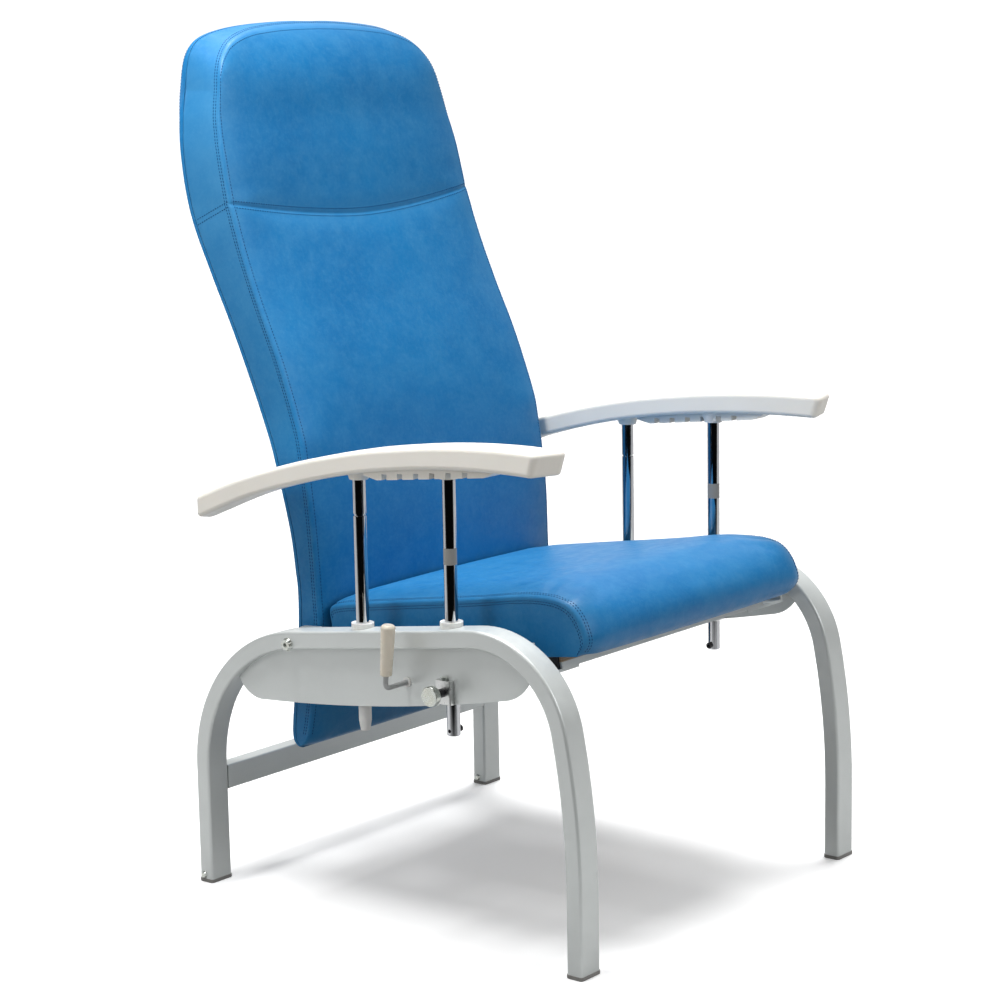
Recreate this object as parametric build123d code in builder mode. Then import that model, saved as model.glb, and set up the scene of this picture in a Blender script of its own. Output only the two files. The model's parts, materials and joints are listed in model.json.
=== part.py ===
from build123d import *
import os
from math import cos, radians, sin, sqrt

# Patient recliner chair, as separate pieces in one frame.
# Millimetres. X across the chair (right side is -X), front is -Y, +Z up.
# Origin on the floor, midway between the four feet.

SIDES = {"right": -1, "left": 1}
# length of the tools that cut right through small pieces
THROUGH = 100

# side arches: one bent rectangular tube per side
ARCH_X = 310
ARCH_W = 40
ARCH_T = 25
ARCH_R = 4
WALL = 2
LEG_Y = 335.25
GLIDE_T = 5
REAR_BEND = (LEG_Y, 356.8)
FRONT_BEND = (-289.1, 442)
FRONT_KNEE = (-LEG_Y, 213.9)
BEND_RADII = [208.5, 134, 1030]
ARCH_IN = ARCH_X - ARCH_W / 2
ARCH_OUT = ARCH_X + ARCH_W / 2
# the top rail rises towards the front
SLOPE = radians(7.8)
RAIL_Z0 = 402.7


def rail_z(y):
    """Height of the top rail's centreline on its straight stretch."""
    return RAIL_Z0 - y * sin(SLOPE) / cos(SLOPE)


# side panels: thin sheet inside the top rail's bend
PANEL_OUT = 317
PANEL_T = 2
PANEL_IN = PANEL_OUT - PANEL_T
PANEL_BELLY = [(215, 287), (0, 309), (-215, 348)]
PANEL_FRONT_CORNER = [(-215, 348), (-242, 359), (-262, 385)]
PANEL_UPPER = [
    (-262, 385), (-275, 398), (-230, 418), (-164, 424), (155, 378), (215, 364), (276, 325), (268, 318),
]
PANEL_REAR_CORNER = [(268, 318), (249, 294), (215, 287)]
WINDOW_H = 60
WINDOW_GAP = 0.2

# rear crossbar
BAR_Z = 150
BAR_H = 36
BAR_R = 3

# foot glides
GLIDE_EDGE = 1
GLIDE_CHAMFER = 0.8
SPIGOT_H = 15
SPIGOT_GAP = 0.1
LEVELLER_R = 2.5
LEVELLER_DEPTH = 5
LEG_BOLT_Z = 10.5
LEG_BOLT_Y = 338
LEG_BOLT_R = 2.4
LEG_BOLT_HEAD_R = 5
LEG_BOLT_HEAD_H = 3.4
LEG_BOLT_TAPER = 22

# armrest posts
POST_X = 304
POST_R = 9
FIT = 0.05
REAR_POST_Y = 39
FRONT_POST_Y = -119
REAR_POST_TOP = 628
REAR_POST_LOW = 312
FRONT_POST_TOP = 643
FRONT_POST_LOW = 285
RING_Z = 565
RING_W = 3
RING_DEPTH = 1.2
TIP_LOW = 268
TIP_SHOULDER = 282
TIP_INSET = 0.2
TIP_R = 6.5
TIP_SPIGOT_R = 4
TIP_SPIGOT_H = 12
GROOVE_W = 2.4
GROOVE_DEPTH = 1.6
GROOVE_TURN = 39
GROOVE_TOP = 440
STOP_Z = 292
STOP_R = 2.5
STOP_HEAD_R = 4.5
STOP_HEAD_H = 5
STOP_REACH = 5
STOP_SOCKET_R = 2.3
STOP_SOCKET_DEPTH = 2.5
LABEL_Z = 527
LABEL_H = 22
LABEL_T = 0.4

# flanged bushes in the top rails
BUSH_R = 10.5
BUSH_FLANGE_R = 15.5
BUSH_BELOW = 5
BUSH_FLANGE_H = 8

# lower guides and locks on the posts
GUIDE_HALF_Y = 13
GUIDE_IN = 291
REAR_GUIDE_Z = (320, 346)
LOCK_Z = (331, 363)
LOCK_OUT = 325
LOCK_PIN_Z = 347
PIN_R = 3
BODY_R = 6
BODY_OUT = 337
BODY_BORE_R = 5
BODY_WALL = 4
PIN_TIP = 313.1
KNOB_R = 13.5
KNOB_IN = 344
KNOB_OUT = 353
KNOB_EDGE_R = 1
SPRING_WIRE_R = 0.5
SPRING_R = 3.9
SPRING_LEN = 6
SPRING_START = 320
SPRING_TURNS = 4
COLLAR_T = 2
COLLAR_GAP = 0.2
BODY_SEAT = 8
BODY_GROOVES = 3
BODY_GROOVE_FIRST = 2.5
BODY_GROOVE_STEP = 3.5
BODY_GROOVE_R = 0.6
CLAMP_R = 2
CLAMP_LEN = 7
CLAMP_HEAD_R = 4
CLAMP_HEAD_H = 4
CLAMP_INSET = 3.6

# backrest hinge
PIVOT_Y = 157
PIVOT_Z = 376
PIVOT_R = 5
PIVOT_HEAD_R = 9.5
PIVOT_HEAD_H = 5
PIVOT_HEAD_TAPER = 25
PIVOT_SOCKET_R = 3.4
PIVOT_SOCKET_DEPTH = 3
PIVOT_PLATE_IN = 262
PIVOT_PLATE_OUT = 268
PIVOT_BOSS_OUT = 284
PIVOT_BOSS_R = 9
PIVOT_PLATE_R = 13
PIVOT_WASHER_R = 13
PIVOT_PLAY = 0.3
STUB_Y = 184
STUB_Z = 374
STUB_R = 9

# seat: everything follows a plane that drops towards the rear
SEAT_ORIGIN = (0, -250, 389)
SEAT_UP = (0, sin(SLOPE), cos(SLOPE))
SEAT_BACK = (0, cos(SLOPE), -sin(SLOPE))
SEAT_PLANE = Plane(origin=SEAT_ORIGIN, x_dir=(1, 0, 0), z_dir=SEAT_UP)
SEAT_SIDE = Plane(origin=SEAT_ORIGIN, x_dir=SEAT_BACK, z_dir=(1, 0, 0))
SEAT_HALF = 237
SEAT_LENGTH = 378
RAIL_H = 9
RAIL_W = 30
RAIL_SETBACK = 12
BOARD_T = 9
BOARD_GAP = 0.2
BOARD_SCREWS = [(x, v) for x in (-222, 222) for v in (60, 200, 340)]
BOARD_SCREW_R = 2
BOARD_SCREW_DEPTH = 7
BOARD_SCREW_HEAD_R = 4
BOARD_SCREW_HEAD_H = 2.2
TRIM_T = 3
TRIM_INSET = 4
BRACKET_T = 4
BRACKET_W = 25
BRACKET_IN = 200
FRONT_BRACKET_V = 14
REAR_BRACKET_V = 318
FRONT_FLANGE_TOP = 35
REAR_FLANGE_TOP = 58
SPRING_RAIL_V = 152
BRACKET_BOLT_R = 3
BRACKET_BOLT_HEAD_R = 5
BRACKET_BOLT_HEAD_H = 3
BRACKET_BOLT_TAPER = 20
BRACKET_BOLT_REACH = 6
BRACKET_NUT_R = 5.5
BRACKET_NUT_H = 3.5
FRONT_BOLT_W = 27
REAR_BOLT_W = 46
CUSHION_HALF = 247
CUSHION_TOP = [(395, 89), (325, 94), (247, 95.5), (170, 96.5), (96, 98), (59, 99.5), (23, 99)]
CUSHION_NOSE = [(23, 99), (-12, 94.5), (-39, 84.5), (-54, 69), (-62.5, 51), (-65.5, 30), (-50, 13)]

# backrest: outlines seen from the side and from the front
BACK_HALF = 257
BACK_FRONT = [
    (190, 216), (179, 246), (169, 310), (156, 388), (158, 428), (163, 530), (185, 666), (236, 790),
    (286, 909), (320, 1036), (338, 1114), (346, 1152), (356, 1182), (376, 1212),
]
BACK_REAR = [
    (413, 1212), (418, 1181), (415, 1114), (401, 1006), (353, 878), (306, 783), (253, 661),
    (213, 521), (204, 425), (207, 340), (222, 222),
]
CUSHION_CREST = (389, 1223)
BACK_CREST = (396, 1225)
BACK_BOTTOM = (203, 207)
BACK_SHELL_T = 12
BACK_REACH = 600
BACK_OUTLINE = [(257, 205), (257, 530), (253, 700), (250, 1000), (245, 1078), (240, 1105), (234, 1130)]
BACK_CROWN = [(234, 1130), (227, 1153), (216, 1175), (193, 1197), (150, 1212), (96, 1220), (0, 1225)]
BACK_TUBE_X = 215
BACK_TUBE_R = 10
BACK_TUBE_WALL = 1.5
BACK_TUBE_PATH = [(194, 252), (180, 400), (184, 560), (316, 900), (366, 1090)]
BACK_TUBE_RADII = [400, 400, 600]
BACK_CROSS_TUBES = [(192.6, 266.9), (316.5, 900), (360.9, 1070.7)]
BACK_POCKET = 0.5
# opening in the backrest's lower edge for the gas spring
SLOT_CENTRE = (170, 256)
SLOT_W = 34
SLOT_DEPTH = 60
SLOT_H = 50

# gas spring between the seat and the backrest's lower end
SPRING_FRONT = (-100, 338)
SPRING_REAR = (150, 262)
SPRING_RUN = SPRING_REAR[0] - SPRING_FRONT[0]
SPRING_DROP = SPRING_FRONT[1] - SPRING_REAR[1]
SPRING_LENGTH = sqrt(SPRING_RUN**2 + SPRING_DROP**2)
SPRING_AXIS = Plane(origin=(0, *SPRING_FRONT), x_dir=(1, 0, 0), z_dir=(0, SPRING_RUN, -SPRING_DROP))
CYL_R = 14
CYL_BORE_R = 12
CYL_START = 24
CYL_END = 150
CYL_FLOOR = 36
ROD_R = 5
PISTON_R = CYL_BORE_R - FIT
EYE_R = 13
EYE_HALF = 8
EYE_HOLE_R = 8.5
EYE_SIDE_GAP = 1
LUG_T = 5
LUG_R = 12
LUG_GAP = EYE_HALF + EYE_SIDE_GAP
BRACKET_PLATE_T = 3
BRACKET_PLATE_EDGE = 10
SPRING_PIN_R = 4
FRONT_PIN_R = 5
PIN_HEAD_T = 2
PIN_HEAD_EDGE = 2.5
CLIP_T = 1.6
CLIP_EDGE = 2
NECK_START = 5
NECK_R = EYE_HALF - 1.5
NECK_OVERLAP = 6
GLAND_H = 10
ROD_START = 122
PISTON_H = 10
ROD_END = SPRING_LENGTH - EYE_R - 4
CABLE_PATH = [(-283, -56.4, 334), (-230, -62, 325), (-120, -86, 325), (-40, -95, 331)]
CABLE_R = 2.5
ANCHOR_T = 4
ANCHOR_W = 20
ANCHOR_H = 60

# recline lever
LEVER_Y = -50.4
LEVER_Z = 350
LEVER_R = 3.5
LEVER_X = 361
LEVER_IN = 284
LEVER_HOLE_R = 7
LEVER_BUSH_R = LEVER_HOLE_R - FIT
LEVER_BUSH_COLLAR_R = 11
LEVER_BUSH_COLLAR_T = 8
LEVER_BUSH_LIP = 2
RELEASE_ARM_T = 5
RELEASE_ARM_R = 8
RELEASE_ARM_TIP_R = 5
RELEASE_ARM_TIP = (-5, -20)
LEVER_BEND_R = 8
GRIP_LOW = 368
GRIP_TOP = 438
GRIP_LEAN = 0.09
GRIP_R_LOW = 8
GRIP_R_TOP = 10
GRIP_TOP_EDGE_R = 5
GRIP_LOW_EDGE_R = 1.5
GRIP_COVER = 14

# armrest pads, described for the positive side
PAD_TOP = [
    (-318, 681), (-250, 682), (-200, 680.5), (-150, 677.5), (-100, 673), (-50, 667), (0, 660), (50, 651),
    (100, 640.5), (150, 628), (200, 613.5), (250, 597), (300, 578), (330, 565), (362, 549),
]
PAD_UNDER = [
    (362, 521), (330, 534), (300, 546), (250, 566), (200, 583.5), (150, 597.5), (100, 610), (50, 621),
    (0, 630), (-50, 637), (-100, 642.6), (-150, 646.5), (-200, 649), (-250, 650), (-318, 649),
]
PAD_INNER = [(280, 352), (280, 0), (283, -150), (288, -230), (296, -330)]
PAD_OUTER = [(350, -330), (341, -230), (335.5, -150), (332, 0), (332, 324)]
PAD_FRONT_INNER = (295, -313.5, 680)
PAD_FRONT_OUTER = (349, -296, 680)
PAD_FRONT_LOW = (295, -303, 650)
PAD_CORNER_R = 10
PAD_EDGE_R = 6
PAD_END_MIN_H = 20
PAD_END_MAX_RUN = 25
RACK_REAR = (-12, 620.5)
RACK_FRONT = (-195, 640)
RACK_OUTLINE = [(12, 640), (12, 625), RACK_REAR, RACK_FRONT, (-226, 654), (-226, 660)]
RACK_IN = 292
RACK_OUT = 325
NOTCH_COUNT = 6
NOTCH_FIRST = -25
NOTCH_LAST = -164
NOTCH_W = 9
NOTCH_H = 7.5
BOSS_R = 13
BOSS_BASE_R = 18
REAR_BOSS_Z = 615
FRONT_BOSS_Z = 630
BOSS_H = 16
PLATE_T = 4
PLATE_W = 28
PLATE_END = 16
PLATE_CORNER_R = 5
PLATE_RISE = 0.1
PLATE_Z = 634
ARM_SCREW_R = 3
ARM_SCREW_HEAD_R = 5
ARM_SCREW_HEAD_H = 3.5
ARM_SCREW_DEPTH = 18
SCREW_GAP = 0.4
PAD_POCKET = 8

os.makedirs("parts", exist_ok=True)


def save(builder, label):
    builder.part.label = label
    export_step(builder.part, f"parts/{label}.step")


def arch(side, hollow):
    """Bent tube of one side, from the rear foot over the top rail to the front foot."""
    with BuildPart() as tube:
        with BuildLine(Plane.YZ.offset(side * ARCH_X)) as path:
            FilletPolyline(
                (LEG_Y, GLIDE_T), REAR_BEND, FRONT_BEND, FRONT_KNEE, (-LEG_Y, GLIDE_T),
                radius=BEND_RADII,
            )
        start = Plane(origin=path.line @ 0, x_dir=(1, 0, 0), z_dir=path.line % 0)
        with BuildSketch(start):
            RectangleRounded(ARCH_W, ARCH_T, ARCH_R)
            if hollow:
                RectangleRounded(
                    ARCH_W - 2 * WALL, ARCH_T - 2 * WALL, ARCH_R - WALL, mode=Mode.SUBTRACT
                )
        sweep(path=path.line)
    return tube


def along_x(y, z, side, x_from, x_to):
    """Location of a cylinder that lies along X between two distances from the middle."""
    return Location((side * (x_from + x_to) / 2, y, z), (0, 90, 0))


def across(spot):
    """Location of a cylinder that lies along X, centred on the chair, at a (y, z) spot."""
    return Location((0, *spot), (0, 90, 0))


def frame_holes(side):
    """Tool solid for every hole in one arch."""
    with BuildPart() as holes:
        for post_y in (REAR_POST_Y, FRONT_POST_Y):
            with Locations((side * POST_X, post_y, rail_z(post_y))):
                Cylinder(BUSH_R + FIT, 60)
        with Locations(along_x(PIVOT_Y, PIVOT_Z, side, ARCH_IN, ARCH_OUT)):
            Cylinder(PIVOT_R + FIT, ARCH_W + 10)
        with Locations(along_x(LEG_BOLT_Y, LEG_BOLT_Z, side, ARCH_IN, ARCH_OUT)):
            Cylinder(LEG_BOLT_R + FIT, ARCH_W + 10)
        for spot in bracket_bolts(side):
            with Locations(Location(spot, (0, 90, 0))):
                Cylinder(BRACKET_BOLT_R + FIT, 12)
    return holes


def bracket_bolts(side):
    """Where the seat brackets are bolted to the inner face of one arch."""
    spots = []
    for v, w in ((FRONT_BRACKET_V, FRONT_BOLT_W), (REAR_BRACKET_V, REAR_BOLT_W)):
        spots.append(SEAT_PLANE.from_local_coords((side * ARCH_IN, v, w)))
    return spots


# ---------------------------------------------------------------- fixed frame
for tag, side in SIDES.items():
    tube = arch(side, True)
    holes = frame_holes(side)
    with BuildPart() as side_frame:
        add(tube.part)
        add(holes.part, mode=Mode.SUBTRACT)
    save(side_frame, f"side_frame_{tag}")

    envelope = arch(side, False)
    with BuildPart() as side_panel:
        with BuildSketch(Plane.YZ.offset(PANEL_IN if side > 0 else -PANEL_OUT)):
            with BuildLine():
                ThreePointArc(*PANEL_BELLY)
                ThreePointArc(*PANEL_FRONT_CORNER)
                Polyline(*PANEL_UPPER)
                ThreePointArc(*PANEL_REAR_CORNER)
            make_face()
        extrude(amount=PANEL_T)
        add(envelope.part, mode=Mode.SUBTRACT)
        window = (side * (PANEL_OUT - PANEL_T / 2), FRONT_POST_Y, LOCK_Z[1] - WINDOW_H / 2)
        with Locations(window):
            Box(5 * PANEL_T, 2 * (GUIDE_HALF_Y + WINDOW_GAP), WINDOW_H + 2 * WINDOW_GAP, mode=Mode.SUBTRACT)
        if tag == "right":
            with Locations(along_x(LEVER_Y, LEVER_Z, side, PANEL_IN, PANEL_OUT)):
                Cylinder(LEVER_HOLE_R, 10 * PANEL_T, mode=Mode.SUBTRACT)
    save(side_panel, f"side_panel_{tag}")

with BuildPart() as rear_crossbar:
    with BuildSketch(Plane.YZ.offset(-ARCH_IN)):
        with Locations((LEG_Y, BAR_Z)):
            RectangleRounded(ARCH_T, BAR_H, BAR_R)
            RectangleRounded(ARCH_T - 2 * WALL, BAR_H - 2 * WALL, BAR_R - WALL, mode=Mode.SUBTRACT)
    extrude(amount=2 * ARCH_IN)
save(rear_crossbar, "rear_crossbar")

leg_spots = [(x, y) for x in (-ARCH_X, ARCH_X) for y in (-LEG_Y, LEG_Y)]
with BuildPart() as foot_glides:
    with BuildSketch():
        with Locations(leg_spots):
            RectangleRounded(ARCH_W + 2 * GLIDE_EDGE, ARCH_T + 2 * GLIDE_EDGE, ARCH_R + GLIDE_EDGE)
    extrude(amount=GLIDE_T)
    chamfer(foot_glides.faces().sort_by(Axis.Z)[0:4].edges(), GLIDE_CHAMFER)
    with BuildSketch(Plane.XY.offset(GLIDE_T)):
        with Locations(leg_spots):
            RectangleRounded(
                ARCH_W - 2 * WALL - 2 * SPIGOT_GAP, ARCH_T - 2 * WALL - 2 * SPIGOT_GAP, ARCH_R - WALL
            )
    extrude(amount=SPIGOT_H)
    with Locations([(x, y, LEVELLER_DEPTH / 2) for x, y in leg_spots]):
        Cylinder(LEVELLER_R, LEVELLER_DEPTH, mode=Mode.SUBTRACT)
    for side in SIDES.values():
        with Locations(along_x(LEG_BOLT_Y, LEG_BOLT_Z, side, ARCH_IN, ARCH_OUT)):
            Cylinder(LEG_BOLT_R + FIT, ARCH_W, mode=Mode.SUBTRACT)
save(foot_glides, "foot_glides")

with BuildPart() as leg_bolts:
    for side in SIDES.values():
        with Locations(along_x(LEG_BOLT_Y, LEG_BOLT_Z, side, ARCH_IN, ARCH_OUT)):
            Cylinder(LEG_BOLT_R, ARCH_W)
        for face_x, outward in ((ARCH_IN, -side), (ARCH_OUT, side)):
            head = Plane(origin=(side * face_x, LEG_BOLT_Y, LEG_BOLT_Z), z_dir=(outward, 0, 0))
            with BuildSketch(head):
                Circle(LEG_BOLT_HEAD_R)
            extrude(amount=LEG_BOLT_HEAD_H, taper=LEG_BOLT_TAPER)
save(leg_bolts, "leg_bolts")

with BuildPart() as arm_bushes:
    for side in SIDES.values():
        for post_y in (REAR_POST_Y, FRONT_POST_Y):
            surface = Plane(
                origin=(side * POST_X, post_y, rail_z(post_y) + ARCH_T / 2 / cos(SLOPE)),
                x_dir=(1, 0, 0),
                z_dir=SEAT_UP,
            )
            flange_top = rail_z(post_y) + ARCH_T / 2 + BUSH_FLANGE_H
            with BuildSketch(Plane.XY.offset(flange_top)):
                with Locations((side * POST_X, post_y)):
                    Circle(BUSH_FLANGE_R)
            extrude(amount=-2 * BUSH_FLANGE_H, mode=Mode.ADD)
            with BuildSketch(surface):
                Circle(3 * BUSH_FLANGE_R)
            extrude(amount=-3 * BUSH_FLANGE_H, mode=Mode.SUBTRACT)
            barrel_low = rail_z(post_y) - ARCH_T / 2 - BUSH_BELOW
            with BuildSketch(Plane.XY.offset(barrel_low)):
                with Locations((side * POST_X, post_y)):
                    Circle(BUSH_R)
            extrude(amount=flange_top - barrel_low - 2)
            with Locations((side * POST_X, post_y, rail_z(post_y))):
                Cylinder(POST_R + FIT, THROUGH, mode=Mode.SUBTRACT)
save(arm_bushes, "arm_bushes")

with BuildPart() as rear_post_guides:
    for side in SIDES.values():
        low, high = REAR_GUIDE_Z
        with Locations((side * (GUIDE_IN + PANEL_IN) / 2, REAR_POST_Y, (low + high) / 2)):
            Box(PANEL_IN - GUIDE_IN, 2 * GUIDE_HALF_Y, high - low)
        with Locations((side * POST_X, REAR_POST_Y, (low + high) / 2)):
            Cylinder(POST_R + FIT, THROUGH, mode=Mode.SUBTRACT)
save(rear_post_guides, "rear_post_guides")

with BuildPart() as lock_housings:
    low, high = LOCK_Z
    for side in SIDES.values():
        with BuildSketch(Plane.XY.offset(low)):
            with Locations((side * (GUIDE_IN + LOCK_OUT) / 2, FRONT_POST_Y)):
                RectangleRounded(LOCK_OUT - GUIDE_IN, 2 * GUIDE_HALF_Y, 2)
        extrude(amount=high - low)
        with Locations((side * POST_X, FRONT_POST_Y, (low + high) / 2)):
            Cylinder(POST_R + FIT, THROUGH, mode=Mode.SUBTRACT)
        with Locations(along_x(FRONT_POST_Y, LOCK_PIN_Z, side, POST_X, LOCK_OUT)):
            Cylinder(PIN_R + FIT, LOCK_OUT - POST_X, mode=Mode.SUBTRACT)
        with Locations(along_x(FRONT_POST_Y, LOCK_PIN_Z, side, LOCK_OUT - BODY_SEAT, LOCK_OUT)):
            Cylinder(BODY_R, BODY_SEAT, mode=Mode.SUBTRACT)
        with Locations((side * (LOCK_OUT - CLAMP_INSET), FRONT_POST_Y, high)):
            Cylinder(CLAMP_R, 2 * (CLAMP_LEN + 1), mode=Mode.SUBTRACT)
save(lock_housings, "lock_housings")

with BuildPart() as lock_screws:
    for side in SIDES.values():
        with Locations((side * (LOCK_OUT - CLAMP_INSET), FRONT_POST_Y, LOCK_Z[1] - CLAMP_LEN / 2)):
            Cylinder(CLAMP_R, CLAMP_LEN)
        with BuildSketch(Plane.XY.offset(LOCK_Z[1])):
            with Locations((side * (LOCK_OUT - CLAMP_INSET), FRONT_POST_Y)):
                RegularPolygon(CLAMP_HEAD_R, 6)
        extrude(amount=CLAMP_HEAD_H)
save(lock_screws, "lock_screws")

with BuildPart() as plunger_bodies:
    body_in = LOCK_OUT - BODY_SEAT
    bore_out = BODY_OUT - BODY_WALL
    for side in SIDES.values():
        with Locations(along_x(FRONT_POST_Y, LOCK_PIN_Z, side, body_in, BODY_OUT)):
            Cylinder(BODY_R, BODY_OUT - body_in)
            Cylinder(PIN_R + FIT, 2 * (BODY_OUT - body_in), mode=Mode.SUBTRACT)
        with Locations(along_x(FRONT_POST_Y, LOCK_PIN_Z, side, body_in, bore_out)):
            Cylinder(BODY_BORE_R, bore_out - body_in, mode=Mode.SUBTRACT)
        for groove in range(BODY_GROOVES):
            groove_x = LOCK_OUT + BODY_GROOVE_FIRST + groove * BODY_GROOVE_STEP
            with Locations(along_x(FRONT_POST_Y, LOCK_PIN_Z, side, groove_x, groove_x)):
                Torus(BODY_R, BODY_GROOVE_R, mode=Mode.SUBTRACT)
save(plunger_bodies, "plunger_bodies")

with BuildPart() as pivot_bolts:
    for side in SIDES.values():
        shank_in = PIVOT_PLATE_IN - 2
        with Locations(along_x(PIVOT_Y, PIVOT_Z, side, shank_in, ARCH_OUT)):
            Cylinder(PIVOT_R, ARCH_OUT - shank_in)
        head = Plane(origin=(side * ARCH_OUT, PIVOT_Y, PIVOT_Z), z_dir=(side, 0, 0))
        with BuildSketch(head):
            Circle(PIVOT_HEAD_R)
        extrude(amount=PIVOT_HEAD_H, taper=PIVOT_HEAD_TAPER)
        with BuildSketch(head.offset(PIVOT_HEAD_H)):
            RegularPolygon(PIVOT_SOCKET_R, 6)
        extrude(amount=-PIVOT_SOCKET_DEPTH, mode=Mode.SUBTRACT)
save(pivot_bolts, "pivot_bolts")

with BuildPart() as pivot_washers:
    for side in SIDES.values():
        washer_in = PIVOT_BOSS_OUT + PIVOT_PLAY
        with Locations(along_x(PIVOT_Y, PIVOT_Z, side, washer_in, ARCH_IN)):
            Cylinder(PIVOT_WASHER_R, ARCH_IN - washer_in)
            Cylinder(PIVOT_R + FIT, ARCH_W, mode=Mode.SUBTRACT)
save(pivot_washers, "pivot_washers")

with BuildPart() as lever_bush:
    collar_in = PANEL_IN - LEVER_BUSH_COLLAR_T
    lip_out = PANEL_OUT + LEVER_BUSH_LIP
    with Locations(along_x(LEVER_Y, LEVER_Z, -1, collar_in, lip_out)):
        Cylinder(LEVER_BUSH_R, lip_out - collar_in)
    with Locations(along_x(LEVER_Y, LEVER_Z, -1, collar_in, PANEL_IN)):
        Cylinder(LEVER_BUSH_COLLAR_R, LEVER_BUSH_COLLAR_T)
    with Locations(along_x(LEVER_Y, LEVER_Z, -1, collar_in, lip_out)):
        Cylinder(LEVER_R + FIT, 2 * (lip_out - collar_in), mode=Mode.SUBTRACT)
save(lever_bush, "lever_bush")

# ---------------------------------------------------------------- seat
with BuildPart() as seat_frame:
    inner = SEAT_HALF - RAIL_W
    rail_length = SEAT_LENGTH - RAIL_SETBACK
    with BuildSketch(SEAT_PLANE.offset(-RAIL_H)):
        with Locations((0, rail_length / 2)):
            Rectangle(2 * SEAT_HALF, rail_length)
            Rectangle(2 * inner, rail_length - 2 * RAIL_W, mode=Mode.SUBTRACT)
        with Locations((0, SPRING_RAIL_V)):
            Rectangle(2 * inner, 2 * EYE_R + 6)
    extrude(amount=RAIL_H)
    for side in SIDES.values():
        for v, flange_top in ((FRONT_BRACKET_V, FRONT_FLANGE_TOP), (REAR_BRACKET_V, REAR_FLANGE_TOP)):
            with BuildSketch(SEAT_PLANE.offset(-RAIL_H)):
                with Locations((side * (BRACKET_IN + ARCH_IN) / 2, v)):
                    Rectangle(ARCH_IN - BRACKET_IN, BRACKET_W)
            extrude(amount=-BRACKET_T)
            with BuildSketch(SEAT_PLANE.offset(-RAIL_H)):
                with Locations((side * (ARCH_IN - BRACKET_T / 2), v)):
                    Rectangle(BRACKET_T, BRACKET_W)
            extrude(amount=RAIL_H + flange_top)
        for spot in bracket_bolts(side):
            with Locations(Location(spot, (0, 90, 0))):
                Cylinder(BRACKET_BOLT_R + FIT, 20, mode=Mode.SUBTRACT)
    with BuildSketch(SEAT_PLANE):
        with Locations(BOARD_SCREWS):
            Circle(BOARD_SCREW_R + 0.5)
    extrude(amount=-RAIL_H, mode=Mode.SUBTRACT)
save(seat_frame, "seat_frame")

with BuildPart() as seat_frame_bolts:
    for side in SIDES.values():
        for spot in bracket_bolts(side):
            inside = spot + Vector(-side * BRACKET_T, 0, 0)
            shank = Plane(origin=inside, z_dir=(side, 0, 0))
            with BuildSketch(shank):
                Circle(BRACKET_BOLT_R)
            extrude(amount=BRACKET_T + BRACKET_BOLT_REACH)
            with BuildSketch(shank):
                Circle(BRACKET_BOLT_HEAD_R)
            extrude(amount=-BRACKET_BOLT_HEAD_H, taper=BRACKET_BOLT_TAPER)
            with BuildSketch(shank.offset(BRACKET_T + WALL + 0.1)):
                RegularPolygon(BRACKET_NUT_R, 6)
            extrude(amount=BRACKET_NUT_H)
save(seat_frame_bolts, "seat_frame_bolts")

with BuildPart() as seat_side_trims:
    with BuildSketch(SEAT_PLANE.offset(-RAIL_H)):
        for side in SIDES.values():
            with Locations((side * (SEAT_HALF + TRIM_T / 2), SEAT_LENGTH / 2)):
                Rectangle(TRIM_T, SEAT_LENGTH - 2 * TRIM_INSET)
    extrude(amount=RAIL_H + BOARD_T)
save(seat_side_trims, "seat_side_trims")

with BuildPart() as seat_board:
    with BuildSketch(SEAT_PLANE):
        with Locations((0, SEAT_LENGTH / 2)):
            Rectangle(2 * SEAT_HALF, SEAT_LENGTH)
    extrude(amount=BOARD_T)
    with BuildSketch(SEAT_PLANE):
        with Locations(BOARD_SCREWS):
            Circle(BOARD_SCREW_R)
    extrude(amount=BOARD_SCREW_DEPTH, mode=Mode.SUBTRACT)
save(seat_board, "seat_board")

with BuildPart() as seat_board_screws:
    with BuildSketch(SEAT_PLANE.offset(BOARD_SCREW_DEPTH)):
        with Locations(BOARD_SCREWS):
            Circle(BOARD_SCREW_R)
    extrude(amount=-BOARD_SCREW_DEPTH - RAIL_H)
    with BuildSketch(SEAT_PLANE.offset(-RAIL_H)):
        with Locations(BOARD_SCREWS):
            Circle(BOARD_SCREW_HEAD_R)
    extrude(amount=-BOARD_SCREW_HEAD_H)
save(seat_board_screws, "seat_board_screws")

with BuildPart() as seat_cushion:
    low = BOARD_T + BOARD_GAP
    with BuildSketch(SEAT_SIDE.offset(-CUSHION_HALF)):
        with BuildLine():
            Spline(CUSHION_TOP)
            Spline(CUSHION_NOSE)
            Polyline(CUSHION_NOSE[-1], (-38, low), (377, low), (397.5, 44), CUSHION_TOP[0])
        make_face()
    extrude(amount=2 * CUSHION_HALF)
save(seat_cushion, "seat_cushion")

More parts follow.
